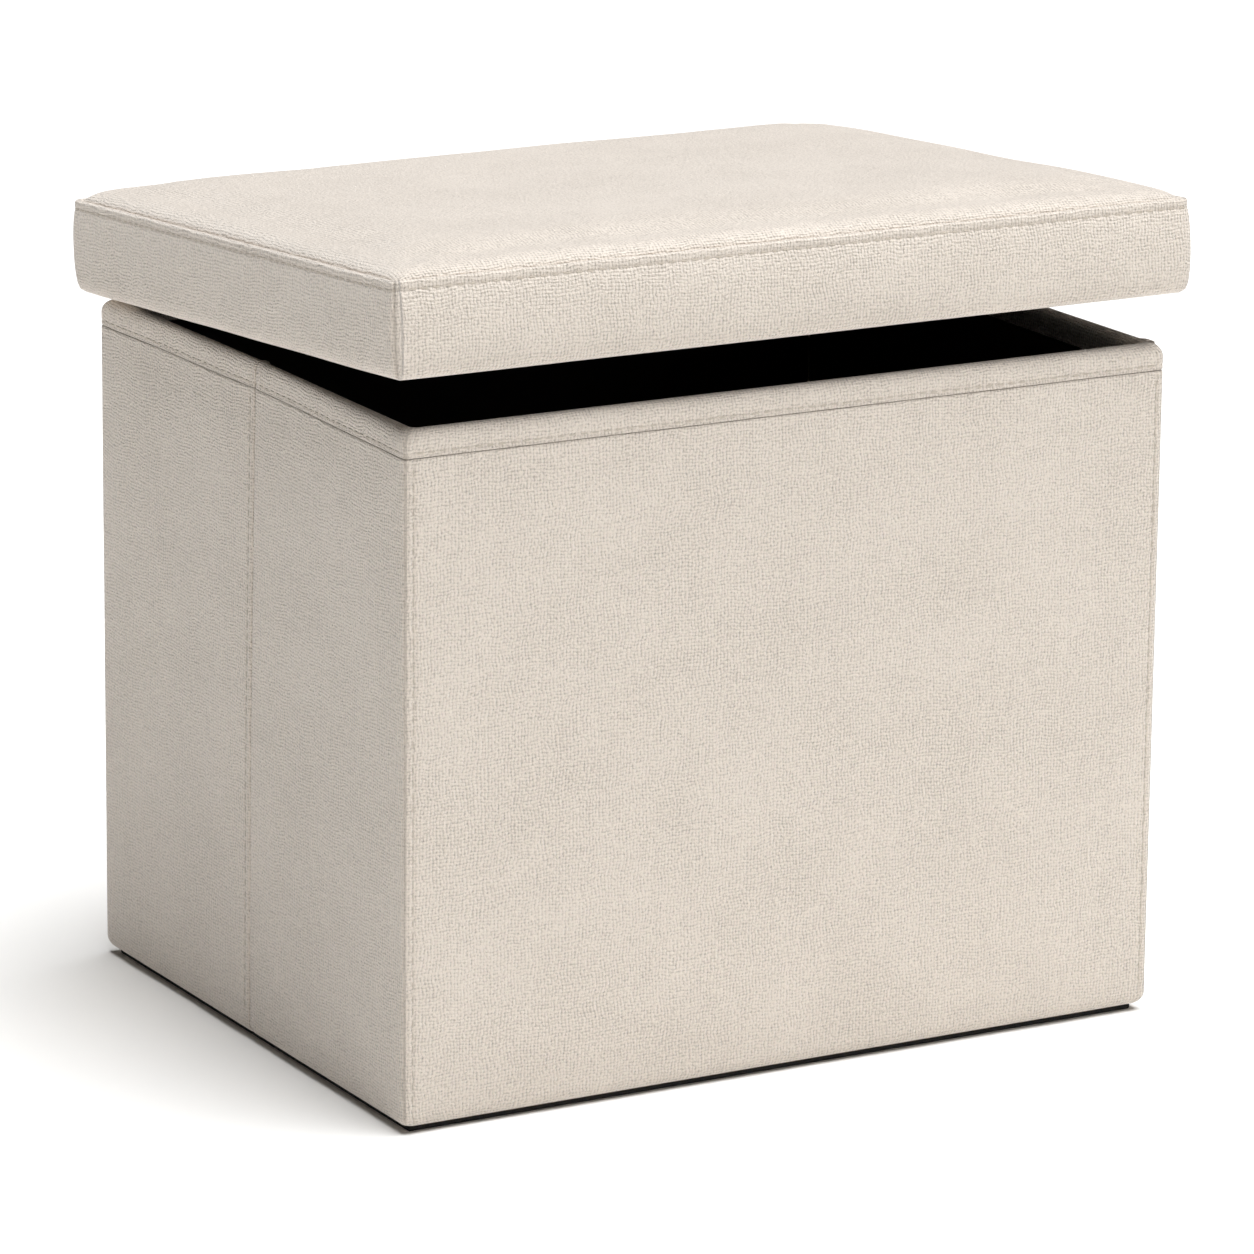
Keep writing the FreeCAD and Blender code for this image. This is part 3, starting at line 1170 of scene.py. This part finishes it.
        along, across = stations(low.x, high.x), stations(low.y, high.y)
        flat_x = np.clip(along, low.x, high.x)[:, None]
        flat_y = np.clip(across, low.y, high.y)[None, :]
        x, y = round_corners(flat_x, flat_y, low, high, 0.8 * MM)
        rise = np.maximum(np.abs(along[:, None] - flat_x), np.abs(across[None, :] - flat_y))
        grow = 1.0 + 0.0015 * (rise > 0.0)
        points = np.stack([x * grow, y * grow, level + rise], axis=-1)
        piece = ClothSheet(name, points, along, across, thickness).build(material)
        attach(piece, "back_wall")
        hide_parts(node)


def round_corners(x: np.ndarray, y: np.ndarray, low: Vector, high: Vector,
                  radius: float) -> tuple[np.ndarray, np.ndarray]:
    """Pull the corner points of a rectangular grid in, so that its outline has round corners."""
    x, y = np.broadcast_arrays(x, y)
    middle_x, middle_y = (low.x + high.x) / 2.0, (low.y + high.y) / 2.0
    reach_x, reach_y = (high.x - low.x) / 2.0 - radius, (high.y - low.y) / 2.0 - radius
    over_x = np.maximum(np.abs(x - middle_x) - reach_x, 0.0)
    over_y = np.maximum(np.abs(y - middle_y) - reach_y, 0.0)
    length = np.hypot(over_x, over_y)
    scale = np.where(length > 1e-9, np.maximum(over_x, over_y) / np.maximum(length, 1e-9), 1.0)
    in_corner = (over_x > 0.0) & (over_y > 0.0)
    scale = np.where(in_corner, scale, 1.0)
    new_x = np.sign(x - middle_x) * (np.minimum(np.abs(x - middle_x), reach_x) + over_x * scale)
    new_y = np.sign(y - middle_y) * (np.minimum(np.abs(y - middle_y), reach_y) + over_y * scale)
    return middle_x + new_x, middle_y + new_y


def paint_node(node: str, material: bpy.types.Material) -> None:
    """Give a CAD node a finish."""
    target = frame["nodes"][node]
    for slot in target.material_slots:
        slot.material = material
    if not target.material_slots:
        target.data.materials.append(material)


# ---------------------------------------------------------------- the lid


@dataclass(frozen=True)
class LidSizes:
    """The lid's sizes while it is closed, and the hinge that opens it, in metres."""

    half_width: float
    half_depth: float
    cloth_level: float
    hem_level: float
    board_level: float
    board_top: float
    seam_level: float
    top_level: float
    pivot: Vector
    axis: Vector
    rest_angle: float

    @classmethod
    def from_frame(cls) -> "LidSizes":
        """Close the lid's nodes in thought, and measure them."""
        hinge = next(j for j in frame["joints"] if j["name"] == "lid_hinge")
        pivot, axis = Vector(hinge["pos_m"]), Vector(hinge["axis"])
        rest_angle = -math.radians(hinge["range_deg"][0])
        close = (Matrix.Translation(pivot) @ Matrix.Rotation(-rest_angle, 4, axis)
                 @ Matrix.Translation(-pivot))

        def closed_box(node: str) -> tuple[np.ndarray, np.ndarray]:
            """A node's corners when the lid is closed."""
            points = np.array([tuple(close @ v.co) for v in frame["nodes"][node].data.vertices])
            return points.min(0), points.max(0)

        cover_low, cover_high = closed_box("lid_top_cover")
        hem_low, _ = closed_box("lid_hem")
        board_low, board_high = closed_box("lid_board")
        cloth_low, _ = closed_box("lid_under_cloth")
        return cls(half_width=float(cover_high[0]), half_depth=float(cover_high[1]),
                   cloth_level=float(cloth_low[2]), hem_level=float(hem_low[2]),
                   board_level=float(board_low[2]), board_top=float(board_high[2]),
                   seam_level=float(cover_low[2]), top_level=float(cover_high[2]),
                   pivot=pivot, axis=axis, rest_angle=rest_angle)

    def opened(self, points: np.ndarray) -> np.ndarray:
        """Points of the closed lid, opened to the rest angle."""
        turn = np.array(Matrix.Rotation(self.rest_angle, 3, self.axis))
        pivot = np.array(self.pivot)
        return (points - pivot) @ turn.T + pivot


@dataclass
class Lid:
    """The padded lid: crowned top, side band, hem, underside cloth and hinge strip."""

    sizes: LidSizes
    box: BoxSizes
    finishes: Finishes
    corner_radius: float = 7.0 * MM
    bulge: float = 2.8 * MM
    bottom_radius: float = 6.0 * MM
    hem_width: float = 38.0 * MM
    lip: float = 5.0 * MM
    lip_rise: float = 0.8 * MM
    hem_lift: float = 0.0
    lip_radius: float = 1.7 * MM
    valley: float = 2.2 * MM
    cloth: float = 1.0 * MM
    shoulder: float = 14.0 * MM
    slope: float = 70.0 * MM
    fullness: float = 2.4 * MM
    puff_room: float = 2.6 * MM
    puff_cap: float = 3.0 * MM
    puff_reach: float = 55.0 * MM

    def __post_init__(self) -> None:
        """Draw the band's outline and measure the way round."""
        self.ripple = Ripple(21, 0.5 * MM, 70.0 * MM)
        self.seam_level = self.sizes.seam_level + self.lip_rise
        self.hem_level = self.sizes.hem_level + self.hem_lift
        self.side_x = 2.0 * (self.sizes.half_width - self.corner_radius)
        self.side_y = 2.0 * (self.sizes.half_depth - self.corner_radius)
        self.turn = self.corner_radius * math.pi / 2.0
        self.round = 2.0 * (self.side_x + self.side_y) + 4.0 * self.turn
        self.band = self._band_profile()
        self.stitch_at = self._stitch_distance()

    def _side_inset(self, height: float) -> tuple[float, float]:
        """How far the bulging side is set in at a height, and its slope there."""
        low, seam = self.hem_level, self.seam_level
        half = (seam - low) / 2.0
        share = (height - (low + seam) / 2.0) / half
        size, power = abs(share), 2.6
        slope = self.bulge * power * size ** (power - 1.0) / half
        return self.bulge * size ** power, math.copysign(slope, share)

    def _band_profile(self) -> Profile:
        """From the hem's inner edge, round the bottom, up the side, over the lip to the valley."""
        low, seam, radius = self.hem_level, self.seam_level, self.bottom_radius
        tilt = 0.0
        for _ in range(6):
            join = low + radius * (1.0 - math.sin(tilt))
            inset, slope = self._side_inset(join)
            tilt = math.atan(-slope)
        middle = inset + radius * math.cos(tilt)
        points = [(s, low + 0.3 * MM) for s in np.linspace(self.hem_width, middle + 4.0 * MM, 7)]
        points += arc((middle, low + radius), (radius, radius), 270.0, 180.0 + math.degrees(tilt), 9)
        top = seam - self.lip
        points += [(self._side_inset(z)[0], z) for z in np.linspace(join + 1.5 * MM, top, 15)]
        edge = self._side_inset(top)[0]
        points += [(edge + 0.1 * MM, top + 1.4 * MM), (edge + 0.1 * MM, seam - self.lip_radius - 0.6 * MM)]
        points += arc((edge + self.lip_radius, seam - self.lip_radius),
                      (self.lip_radius, self.lip_radius), 175.0, 40.0, 7)
        points += [(edge + 4.4 * MM, seam - 1.6 * MM), (edge + 5.6 * MM, seam - 3.2 * MM),
                   (edge + 7.5 * MM, seam - 4.4 * MM)]
        return Profile.through(points)

    def _stitch_distance(self) -> float:
        """The distance along the band's outline of the row under the lip."""
        target = self.seam_level - self.lip
        heights = self.band.height
        outer = np.argmax((heights > target - 0.05 * MM) & (self.band.distance > self.hem_width))
        return float(self.band.distance[outer])

    def outline(self, gone: np.ndarray, inset: np.ndarray) -> tuple[np.ndarray, np.ndarray]:
        """The lid's outline, set in, at distances round it from the front left corner.

        Args:
            gone: distance round the outline, towards +X along the front first.
            inset: how far inside the outline.

        Returns:
            The x and y places.
        """
        gone, inset = np.broadcast_arrays(np.mod(gone, self.round), inset)
        x, y = np.zeros(gone.shape), np.zeros(gone.shape)
        radius = np.maximum(self.corner_radius - inset, 0.3 * MM)
        reach_x = self.sizes.half_width - inset - radius
        reach_y = self.sizes.half_depth - inset - radius
        corners = [(-1, -1), (1, -1), (1, 1), (-1, 1)]
        done = 0.0
        for index in range(4):
            side = self.side_x if index % 2 == 0 else self.side_y
            facing = math.radians(270.0 + 90.0 * index)
            out_x, out_y = math.cos(facing), math.sin(facing)
            sx, sy = corners[index]
            ex, ey = corners[(index + 1) % 4]
            share = (gone - done) / side
            on_side = (share >= 0.0) & (share <= 1.0)
            px = (sx + (ex - sx) * share) * reach_x + out_x * radius
            py = (sy + (ey - sy) * share) * reach_y + out_y * radius
            x, y = np.where(on_side, px, x), np.where(on_side, py, y)
            done += side
            angle = facing + (gone - done) / self.corner_radius
            on_arc = (gone > done) & (gone < done + self.turn)
            x = np.where(on_arc, ex * reach_x + np.cos(angle) * radius, x)
            y = np.where(on_arc, ey * reach_y + np.sin(angle) * radius, y)
            done += self.turn
        return x, y

    def corner_seams(self) -> list[float]:
        """Distances round the outline of the four upright seams."""
        places, done = [], 0.0
        for index in range(4):
            done += self.side_x if index % 2 == 0 else self.side_y
            places.append(done + self.turn / 2.0)
            done += self.turn
        return places

    def _to_corner(self, gone: np.ndarray) -> np.ndarray:
        """The distance to the nearest upright seam."""
        gaps = [np.abs(np.mod(gone - seam + self.round / 2.0, self.round) - self.round / 2.0)
                for seam in self.corner_seams()]
        return np.minimum.reduce(gaps)

    def band_point(self, gone: np.ndarray, distance: np.ndarray) -> np.ndarray:
        """A point on the side band, hem or lip."""
        gone, distance = np.broadcast_arrays(gone, distance)
        depth, height = self.band.at(distance)
        away = self._to_corner(gone)
        seam = groove(away, 1.0 * MM) * 0.9 * MM
        row = groove(distance - self.stitch_at, 0.8 * MM) * 0.45 * MM
        plump = (1.0 - smooth_step(away / (40.0 * MM))) * 0.5 * MM
        uneven = self.ripple.at(gone, height) * smooth_step(away / (30.0 * MM)) * 0.8
        sides = smooth_step((8.0 * MM + self.bulge - depth) / (4.0 * MM))
        x, y = self.outline(gone, depth + (seam + row + plump + uneven + 0.3 * MM) * sides)
        lift = (1.0 - sides) * np.where(height < self.hem_level + 2.0 * MM,
                                        self.ripple.at(gone * 3.0, depth) * 0.5, 0.0)
        return self.sizes.opened(np.stack([x, y, height + np.abs(lift)], axis=-1))

    def build(self) -> None:
        """Make every piece of the lid."""
        self._band()
        self._pad()
        self._board()
        self._underside()
        self._hinge_strip()
        paint_node("lid_staples", self.finishes.staple)

    def _band(self) -> None:
        """The linen round the sides, turned under, with its row of stitches."""
        seams = self.corner_seams()
        gone = spread(0.0, self.round, 8.0 * MM, seams)[:-1]
        distance = spread(0.0, self.band.length, 4.0 * MM,
                          [self.stitch_at, self.band.length - 8.0 * MM])
        points = self.band_point(gone[:, None], distance[None, :])
        # Painted shade in the four corner seams, along the stitch row and in the valley behind the lip.
        marks = groove(self._to_corner(gone), 0.9 * MM)[:, None] * np.ones((1, len(distance)))
        marks = marks + groove(distance - self.stitch_at, 0.6 * MM)[None, :] * 0.35
        marks = marks + smooth_step((distance - self.band.length + 5.0 * MM) / (3.0 * MM))[None, :] * 0.9
        piece = ClothSheet("lid_band_linen", points, gone, distance, self.cloth, loop=True,
                           marks=np.clip(marks, 0.0, 1.0)).build(self.finishes.linen)
        attach(piece, "lid")
        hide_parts("lid_band_front", "lid_band_right", "lid_band_rear", "lid_band_left", "lid_hem")

        def path(places: np.ndarray) -> np.ndarray:
            """The row's place on the band."""
            return self.band_point(places, np.array(self.stitch_at))

        def outward(places: np.ndarray) -> np.ndarray:
            """Level and away from the lid's middle."""
            out = self.band_point(places, np.array(self.stitch_at))
            inner = self.sizes.opened(np.stack([*self.outline(places, np.array(9.0 * MM)), np.full(
                places.shape, self.seam_level - self.lip)], axis=-1))
            gap = out - inner
            return gap / np.linalg.norm(gap, axis=1, keepdims=True)

        row = StitchRow("lid_stitches", path, outward, 0.0, self.round).build(self.finishes.thread)
        attach(row, "lid")

    def pad_height(self, x: np.ndarray, y: np.ndarray, half_x: float, half_y: float) -> np.ndarray:
        """The top cover's rise before it is puffed, from 0 at its edge to 1 in the middle."""

        def shoulder(away: np.ndarray, width: float) -> np.ndarray:
            """A quarter round at the edge."""
            share = np.clip(away / width, 0.0, 1.0)
            return np.sqrt(1.0 - (1.0 - share) ** 2)

        away_x, away_y = half_x - np.abs(x), half_y - np.abs(y)
        edge = shoulder(away_x, self.shoulder) * shoulder(away_y, self.shoulder)
        slope = shoulder(away_x, self.slope) * shoulder(away_y, self.slope)
        crown = np.sqrt(np.maximum((1.0 - (x / half_x) ** 2) * (1.0 - (y / half_y) ** 2), 0.0))
        return 0.50 * edge + 0.32 * slope + 0.18 * crown

    def _puffed(self, points: np.ndarray) -> np.ndarray:
        """Blow the top cover up a little by cloth simulation, held along its seam.

        Args:
            points: the cover's grid of points while the lid is closed.

        Returns:
            The grid after the simulation.
        """
        rows, columns = points.shape[:2]
        index = np.arange(rows * columns).reshape(rows, columns)
        faces = np.stack([index[:-1, :-1], index[1:, :-1], index[1:, 1:], index[:-1, 1:]], -1)
        trial = mesh_object("pad_trial", points.reshape(-1, 3), faces.reshape(-1, 4).tolist(),
                            self.finishes.linen)
        rim = np.unique(np.concatenate([index[0], index[-1], index[:, 0], index[:, -1]]))
        held = trial.vertex_groups.new(name="held")
        held.add(rim.tolist(), 1.0, "REPLACE")
        cloth = trial.modifiers.new("cloth", "CLOTH")
        cloth.settings.quality = 8
        cloth.settings.mass = 0.25
        cloth.settings.tension_stiffness = 25.0
        cloth.settings.compression_stiffness = 10.0
        cloth.settings.bending_stiffness = 6.0
        cloth.settings.vertex_group_mass = "held"
        cloth.settings.use_pressure = True
        cloth.settings.uniform_pressure_force = 4.0
        cloth.settings.effector_weights.gravity = 0.0
        scene = bpy.context.scene
        for step in range(1, 21):
            scene.frame_set(step)
        settled = trial.evaluated_get(bpy.context.evaluated_depsgraph_get()).to_mesh()
        moved = np.zeros(rows * columns * 3)
        settled.vertices.foreach_get("co", moved)
        scene.frame_set(1)
        bpy.data.objects.remove(trial, do_unlink=True)
        shift = moved.reshape(points.shape) - points
        length = np.linalg.norm(shift, axis=2, keepdims=True)
        LOG.info("pad: cloth moved up to %.1f mm", float(length.max()) / MM)
        return points + shift * np.minimum(1.0, self.puff_cap / np.maximum(length, 1e-9))

    @staticmethod
    def _run_along(line: np.ndarray) -> np.ndarray:
        """Distances along a line of points, so that the weave keeps its size on the slopes."""
        steps = np.linalg.norm(np.diff(line, axis=0), axis=1)
        return np.concatenate([[0.0], np.cumsum(steps)])

    def _pad(self) -> None:
        """The crowned top: cover, wadding and foam as one closed pad."""
        inset = self.bulge * 0.62 + self.valley + 1.6 * MM
        half_x, half_y = self.sizes.half_width - inset, self.sizes.half_depth - inset
        near = [2.0 * MM, 8.0 * MM, 18.0 * MM]
        along = spread(-half_x, half_x, 7.0 * MM, [-half_x + n for n in near] + [half_x - n for n in near])
        across = spread(-half_y, half_y, 7.0 * MM, [-half_y + n for n in near] + [half_y - n for n in near])
        low, high = Vector((-half_x, -half_y, 0.0)), Vector((half_x, half_y, 0.0))
        x, y = round_corners(along[:, None], across[None, :], low, high, self.corner_radius - 3.0 * MM)
        flat_x, flat_y = np.broadcast_arrays(along[:, None], across[None, :])
        share = self.pad_height(flat_x, flat_y, half_x, half_y)
        floor = self.seam_level - self.valley
        height = floor + share * (self.sizes.top_level - floor - self.puff_room)
        start = np.stack([x, y, height], axis=-1)
        edge_away = np.minimum(half_x - np.abs(flat_x), half_y - np.abs(flat_y))
        points = start + (self._puffed(start) - start) * smooth_step(edge_away / self.puff_reach)[..., None]
        points[..., 2] += self.ripple.at(x, y) * smooth_step(share * 1.4) * 0.8
        rise = (self.sizes.top_level + self.fullness - floor) / (float(points[..., 2].max()) - floor)
        points[..., 2] = floor + (points[..., 2] - floor) * rise
        LOG.info("pad: its rise is fitted by %.3f", rise)
        back = np.stack([x * 0.985, y * 0.98, np.full_like(x, self.sizes.board_top + 0.4 * MM)], axis=-1)
        # Painted shade where the pad sinks into the valley behind the lip.
        edge = 1.0 - smooth_step(share / 0.16)
        along = self._run_along(points[:, len(across) // 2])
        across = self._run_along(points[len(along) // 2])
        piece = ClothSheet("lid_top_pad", self.sizes.opened(points), along, across, 1.4 * MM,
                           marks=edge * 0.45, back=self.sizes.opened(back)).build(self.finishes.linen)
        attach(piece, "lid")
        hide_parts("lid_top_cover", "lid_wadding", "lid_foam")

    def _board(self) -> None:
        """The lid's board, with the rounded lower edge that the cloth is pulled over."""
        inset, radius = self.bulge + 3.0 * MM, 5.0 * MM
        low, high = self.sizes.board_level + 0.5 * MM, self.sizes.board_top
        line = [(inset + 60.0 * MM, low)]
        line += arc((inset + radius, low + radius), (radius, radius), 270.0, 180.0, 7)
        line += [(inset, high - 2.0 * MM)] + arc((inset + 2.0 * MM, high - 2.0 * MM), (2.0 * MM, 2.0 * MM),
                                                180.0, 90.0, 4)
        line += [(inset + 60.0 * MM, high)]
        outline = Profile.through(line)
        gone = spread(0.0, self.round, 20.0 * MM, self.corner_seams())[:-1]
        rows, columns = len(gone), len(outline.distance)
        x, y = self.outline(gone[:, None], outline.depth[None, :])
        height = np.broadcast_to(outline.height[None, :], x.shape)
        points = self.sizes.opened(np.stack([x, y, height], axis=-1)).reshape(-1, 3)
        faces = [(i * columns + j, (i + 1) % rows * columns + j, (i + 1) % rows * columns + j + 1,
                  i * columns + j + 1) for i in range(rows) for j in range(columns - 1)]
        faces.append(tuple(i * columns for i in reversed(range(rows))))
        faces.append(tuple(i * columns + columns - 1 for i in range(rows)))
        piece = mesh_object("lid_panel_board", points, faces, self.finishes.board)
        piece.data.set_sharp_from_angle(angle=math.radians(40.0))
        attach(piece, "lid")
        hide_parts("lid_board")

    def _underside(self) -> None:
        """The dark cloth stapled over the bottom of the lid."""
        inset = 14.0 * MM
        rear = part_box("hinge_strip_on_lid")[0].y - 0.5 * MM
        low = Vector((-self.sizes.half_width + inset, -self.sizes.half_depth + inset, 0.0))
        high = Vector((self.sizes.half_width - inset, rear, 0.0))
        along, across = spread(low.x, high.x, 12.0 * MM), spread(low.y, high.y, 12.0 * MM)
        x, y = np.broadcast_arrays(along[:, None], across[None, :])
        ripple = Ripple(33, 0.35 * MM, 30.0 * MM)
        level = self.sizes.cloth_level + 0.05 * MM + np.abs(ripple.at(x, y)) * 0.6
        points = self.sizes.opened(np.stack([x, y, level], axis=-1))[::-1]
        piece = ClothSheet("lid_underside_cloth", points, along, across, 0.6 * MM).build(
            self.finishes.pressed)
        attach(piece, "lid")
        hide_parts("lid_under_cloth")

    def _hinge_strip(self) -> None:
        """The strip of linen that hinges the lid, from the wall's face to the lid's underside."""
        wall_low, wall_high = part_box("hinge_strip_on_wall")
        face = wall_high.y
        top = self.sizes.pivot.z
        on_wall = [(face, z) for z in np.linspace(wall_low.z, top - 2.0 * MM, 9)]
        under = np.linspace(face - 2.0 * MM, face - 41.0 * MM, 10)
        on_lid = self.sizes.opened(np.stack([np.zeros(10), under, np.full(10, self.sizes.cloth_level)],
                                            axis=-1))[:, 1:]
        bend = [(face - 0.1 * MM, top - 0.6 * MM), (face - 0.5 * MM, top + 0.8 * MM)]
        line = np.array(on_wall + bend + [tuple(p) for p in on_lid])
        along = spread(wall_low.x, wall_high.x, 20.0 * MM)[::-1]
        across = np.concatenate([[0.0], np.cumsum(np.linalg.norm(np.diff(line, axis=0), axis=1))])
        points = np.stack(np.broadcast_arrays(along[:, None], line[None, :, 0], line[None, :, 1]), axis=-1)
        piece = ClothSheet("hinge_strip_linen", points, np.abs(along - along[0]), across, 0.6 * MM).build(
            self.finishes.linen)
        span = (Vector((0.0, face, top - 2.5 * MM)), Vector((0.0, face - 3.0 * MM, top + 2.0 * MM)))
        attach(piece, "back_wall", ("lid", span))
        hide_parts("hinge_strip_on_wall", "hinge_strip_on_lid")
        self._strip_stitches(Vector((wall_low.x, face, wall_low.z)), Vector((wall_high.x, face, top)))

    def _strip_stitches(self, low: Vector, high: Vector) -> None:
        """The stitches that hold the strip to the wall: one row below and one up each end."""
        inset, out = 4.0 * MM, 0.2 * MM
        corner = (low.x + inset, low.z + inset)
        width, height = high.x - low.x - 2.0 * inset, high.z - low.z - inset - 5.0 * MM

        def along_bottom(places: np.ndarray) -> np.ndarray:
            """A place on the row below."""
            return np.stack([high.x - inset - places, np.full(places.shape, low.y + out),
                             np.full(places.shape, corner[1])], axis=-1)

        def up_end(places: np.ndarray, x: float) -> np.ndarray:
            """A place on a row up one end."""
            return np.stack([np.full(places.shape, x), np.full(places.shape, low.y + out),
                             corner[1] + places], axis=-1)

        def rearward(places: np.ndarray) -> np.ndarray:
            """Straight out of the back wall."""
            return np.tile([0.0, 1.0, 0.0], (len(places), 1))

        rows = [StitchRow("hinge_strip_stitches_below", along_bottom, rearward, 0.0, width),
                StitchRow("hinge_strip_stitches_left", lambda p: up_end(p, corner[0]), rearward,
                          0.0, height),
                StitchRow("hinge_strip_stitches_right", lambda p: up_end(p, high.x - inset), rearward,
                          0.0, height)]
        for row in rows:
            attach(row.build(self.finishes.thread), "back_wall")


# ---------------------------------------------------------------- the studio


@dataclass
class Studio:
    """A pale floor, soft lights and the camera."""

    floor_size: float = 60.0
    key_towards: tuple[float, float, float] = (0.135, -0.145, 0.980)
    key_strength: float = 4.7
    key_width: float = 46.0
    key_colour: Colour = (0.965, 0.982, 1.0)
    side_place: tuple[float, float, float] = (1.3, -1.3, 0.8)
    side_size: float = 0.8
    side_power: float = 3.05
    aim_height: float = 0.22
    world_strength: float = 0.03
    lens: float = 199.23
    camera_place: tuple[float, float, float] = (-1.8629, -3.2968, 1.2111)
    camera_yaw: float = 29.5
    camera_pitch: float = 14.822
    camera_roll: float = 0.576

    def build(self) -> None:
        """Make the floor, the lights, the world and the camera."""
        self._floor()
        self._key_light()
        self._side_light()
        self._world()
        self._camera()
        bpy.context.scene.view_settings.view_transform = "Standard"

    def _floor(self) -> None:
        """A wide plane under the ottoman."""
        half = self.floor_size / 2.0
        corners = np.array([(-half, -half, 0.0), (half, -half, 0.0), (half, half, 0.0), (-half, half, 0.0)])
        floor = mesh_object("studio_floor", corners, [(0, 1, 2, 3)], StudioFinish().make())

    def _key_light(self) -> None:
        """A broad distant light from above."""
        light = bpy.data.lights.new("key_light", "SUN")
        light.energy = self.key_strength
        light.color = self.key_colour
        light.angle = math.radians(self.key_width)
        holder = bpy.data.objects.new("key_light", light)
        holder.rotation_euler = Vector(self.key_towards).to_track_quat("Z", "Y").to_euler()
        bpy.context.scene.collection.objects.link(holder)

    def _side_light(self) -> None:
        """A square soft light aimed at the middle of the ottoman."""
        light = bpy.data.lights.new("side_light", "AREA")
        light.shape = "SQUARE"
        light.size = self.side_size
        light.energy = self.side_power
        holder = bpy.data.objects.new("side_light", light)
        holder.location = self.side_place
        aim = Vector((0.0, 0.0, self.aim_height)) - Vector(self.side_place)
        holder.rotation_euler = aim.to_track_quat("-Z", "Y").to_euler()
        bpy.context.scene.collection.objects.link(holder)

    def _world(self) -> None:
        """An even white surround."""
        world = bpy.data.worlds.new("studio_world")
        world.use_nodes = True
        background = world.node_tree.nodes["Background"]
        background.inputs[0].default_value = (1.0, 1.0, 1.0, 1.0)
        background.inputs[1].default_value = self.world_strength
        bpy.context.scene.world = world

    def _camera(self) -> None:
        """The camera, turned by yaw, pitch and roll."""
        yaw, pitch, roll = (math.radians(a) for a in (self.camera_yaw, self.camera_pitch, self.camera_roll))
        forward = Vector((math.sin(yaw) * math.cos(pitch), math.cos(yaw) * math.cos(pitch),
                          -math.sin(pitch)))
        level = forward.cross(Vector((0.0, 0.0, 1.0))).normalized()
        upright = level.cross(forward)
        right = level * math.cos(roll) + upright * math.sin(roll)
        up = upright * math.cos(roll) - level * math.sin(roll)
        turn = Matrix((right, up, -forward)).transposed()
        data = bpy.data.cameras.new("camera")
        data.lens = self.lens
        data.sensor_width = 36.0
        data.clip_end = 200.0
        camera = bpy.data.objects.new("camera", data)
        camera.matrix_world = Matrix.Translation(self.camera_place) @ turn.to_4x4()
        bpy.context.scene.collection.objects.link(camera)
        bpy.context.scene.camera = camera


def main() -> None:
    """Build the ottoman in its studio."""
    logging.basicConfig(level=logging.INFO, format="%(message)s")
    Studio().build()
    finishes = Finishes.make()
    box_sizes = BoxSizes.from_frame()
    Box(box_sizes, finishes).build()
    Lid(LidSizes.from_frame(), box_sizes, finishes).build()


if __name__ == "__main__":
    main()
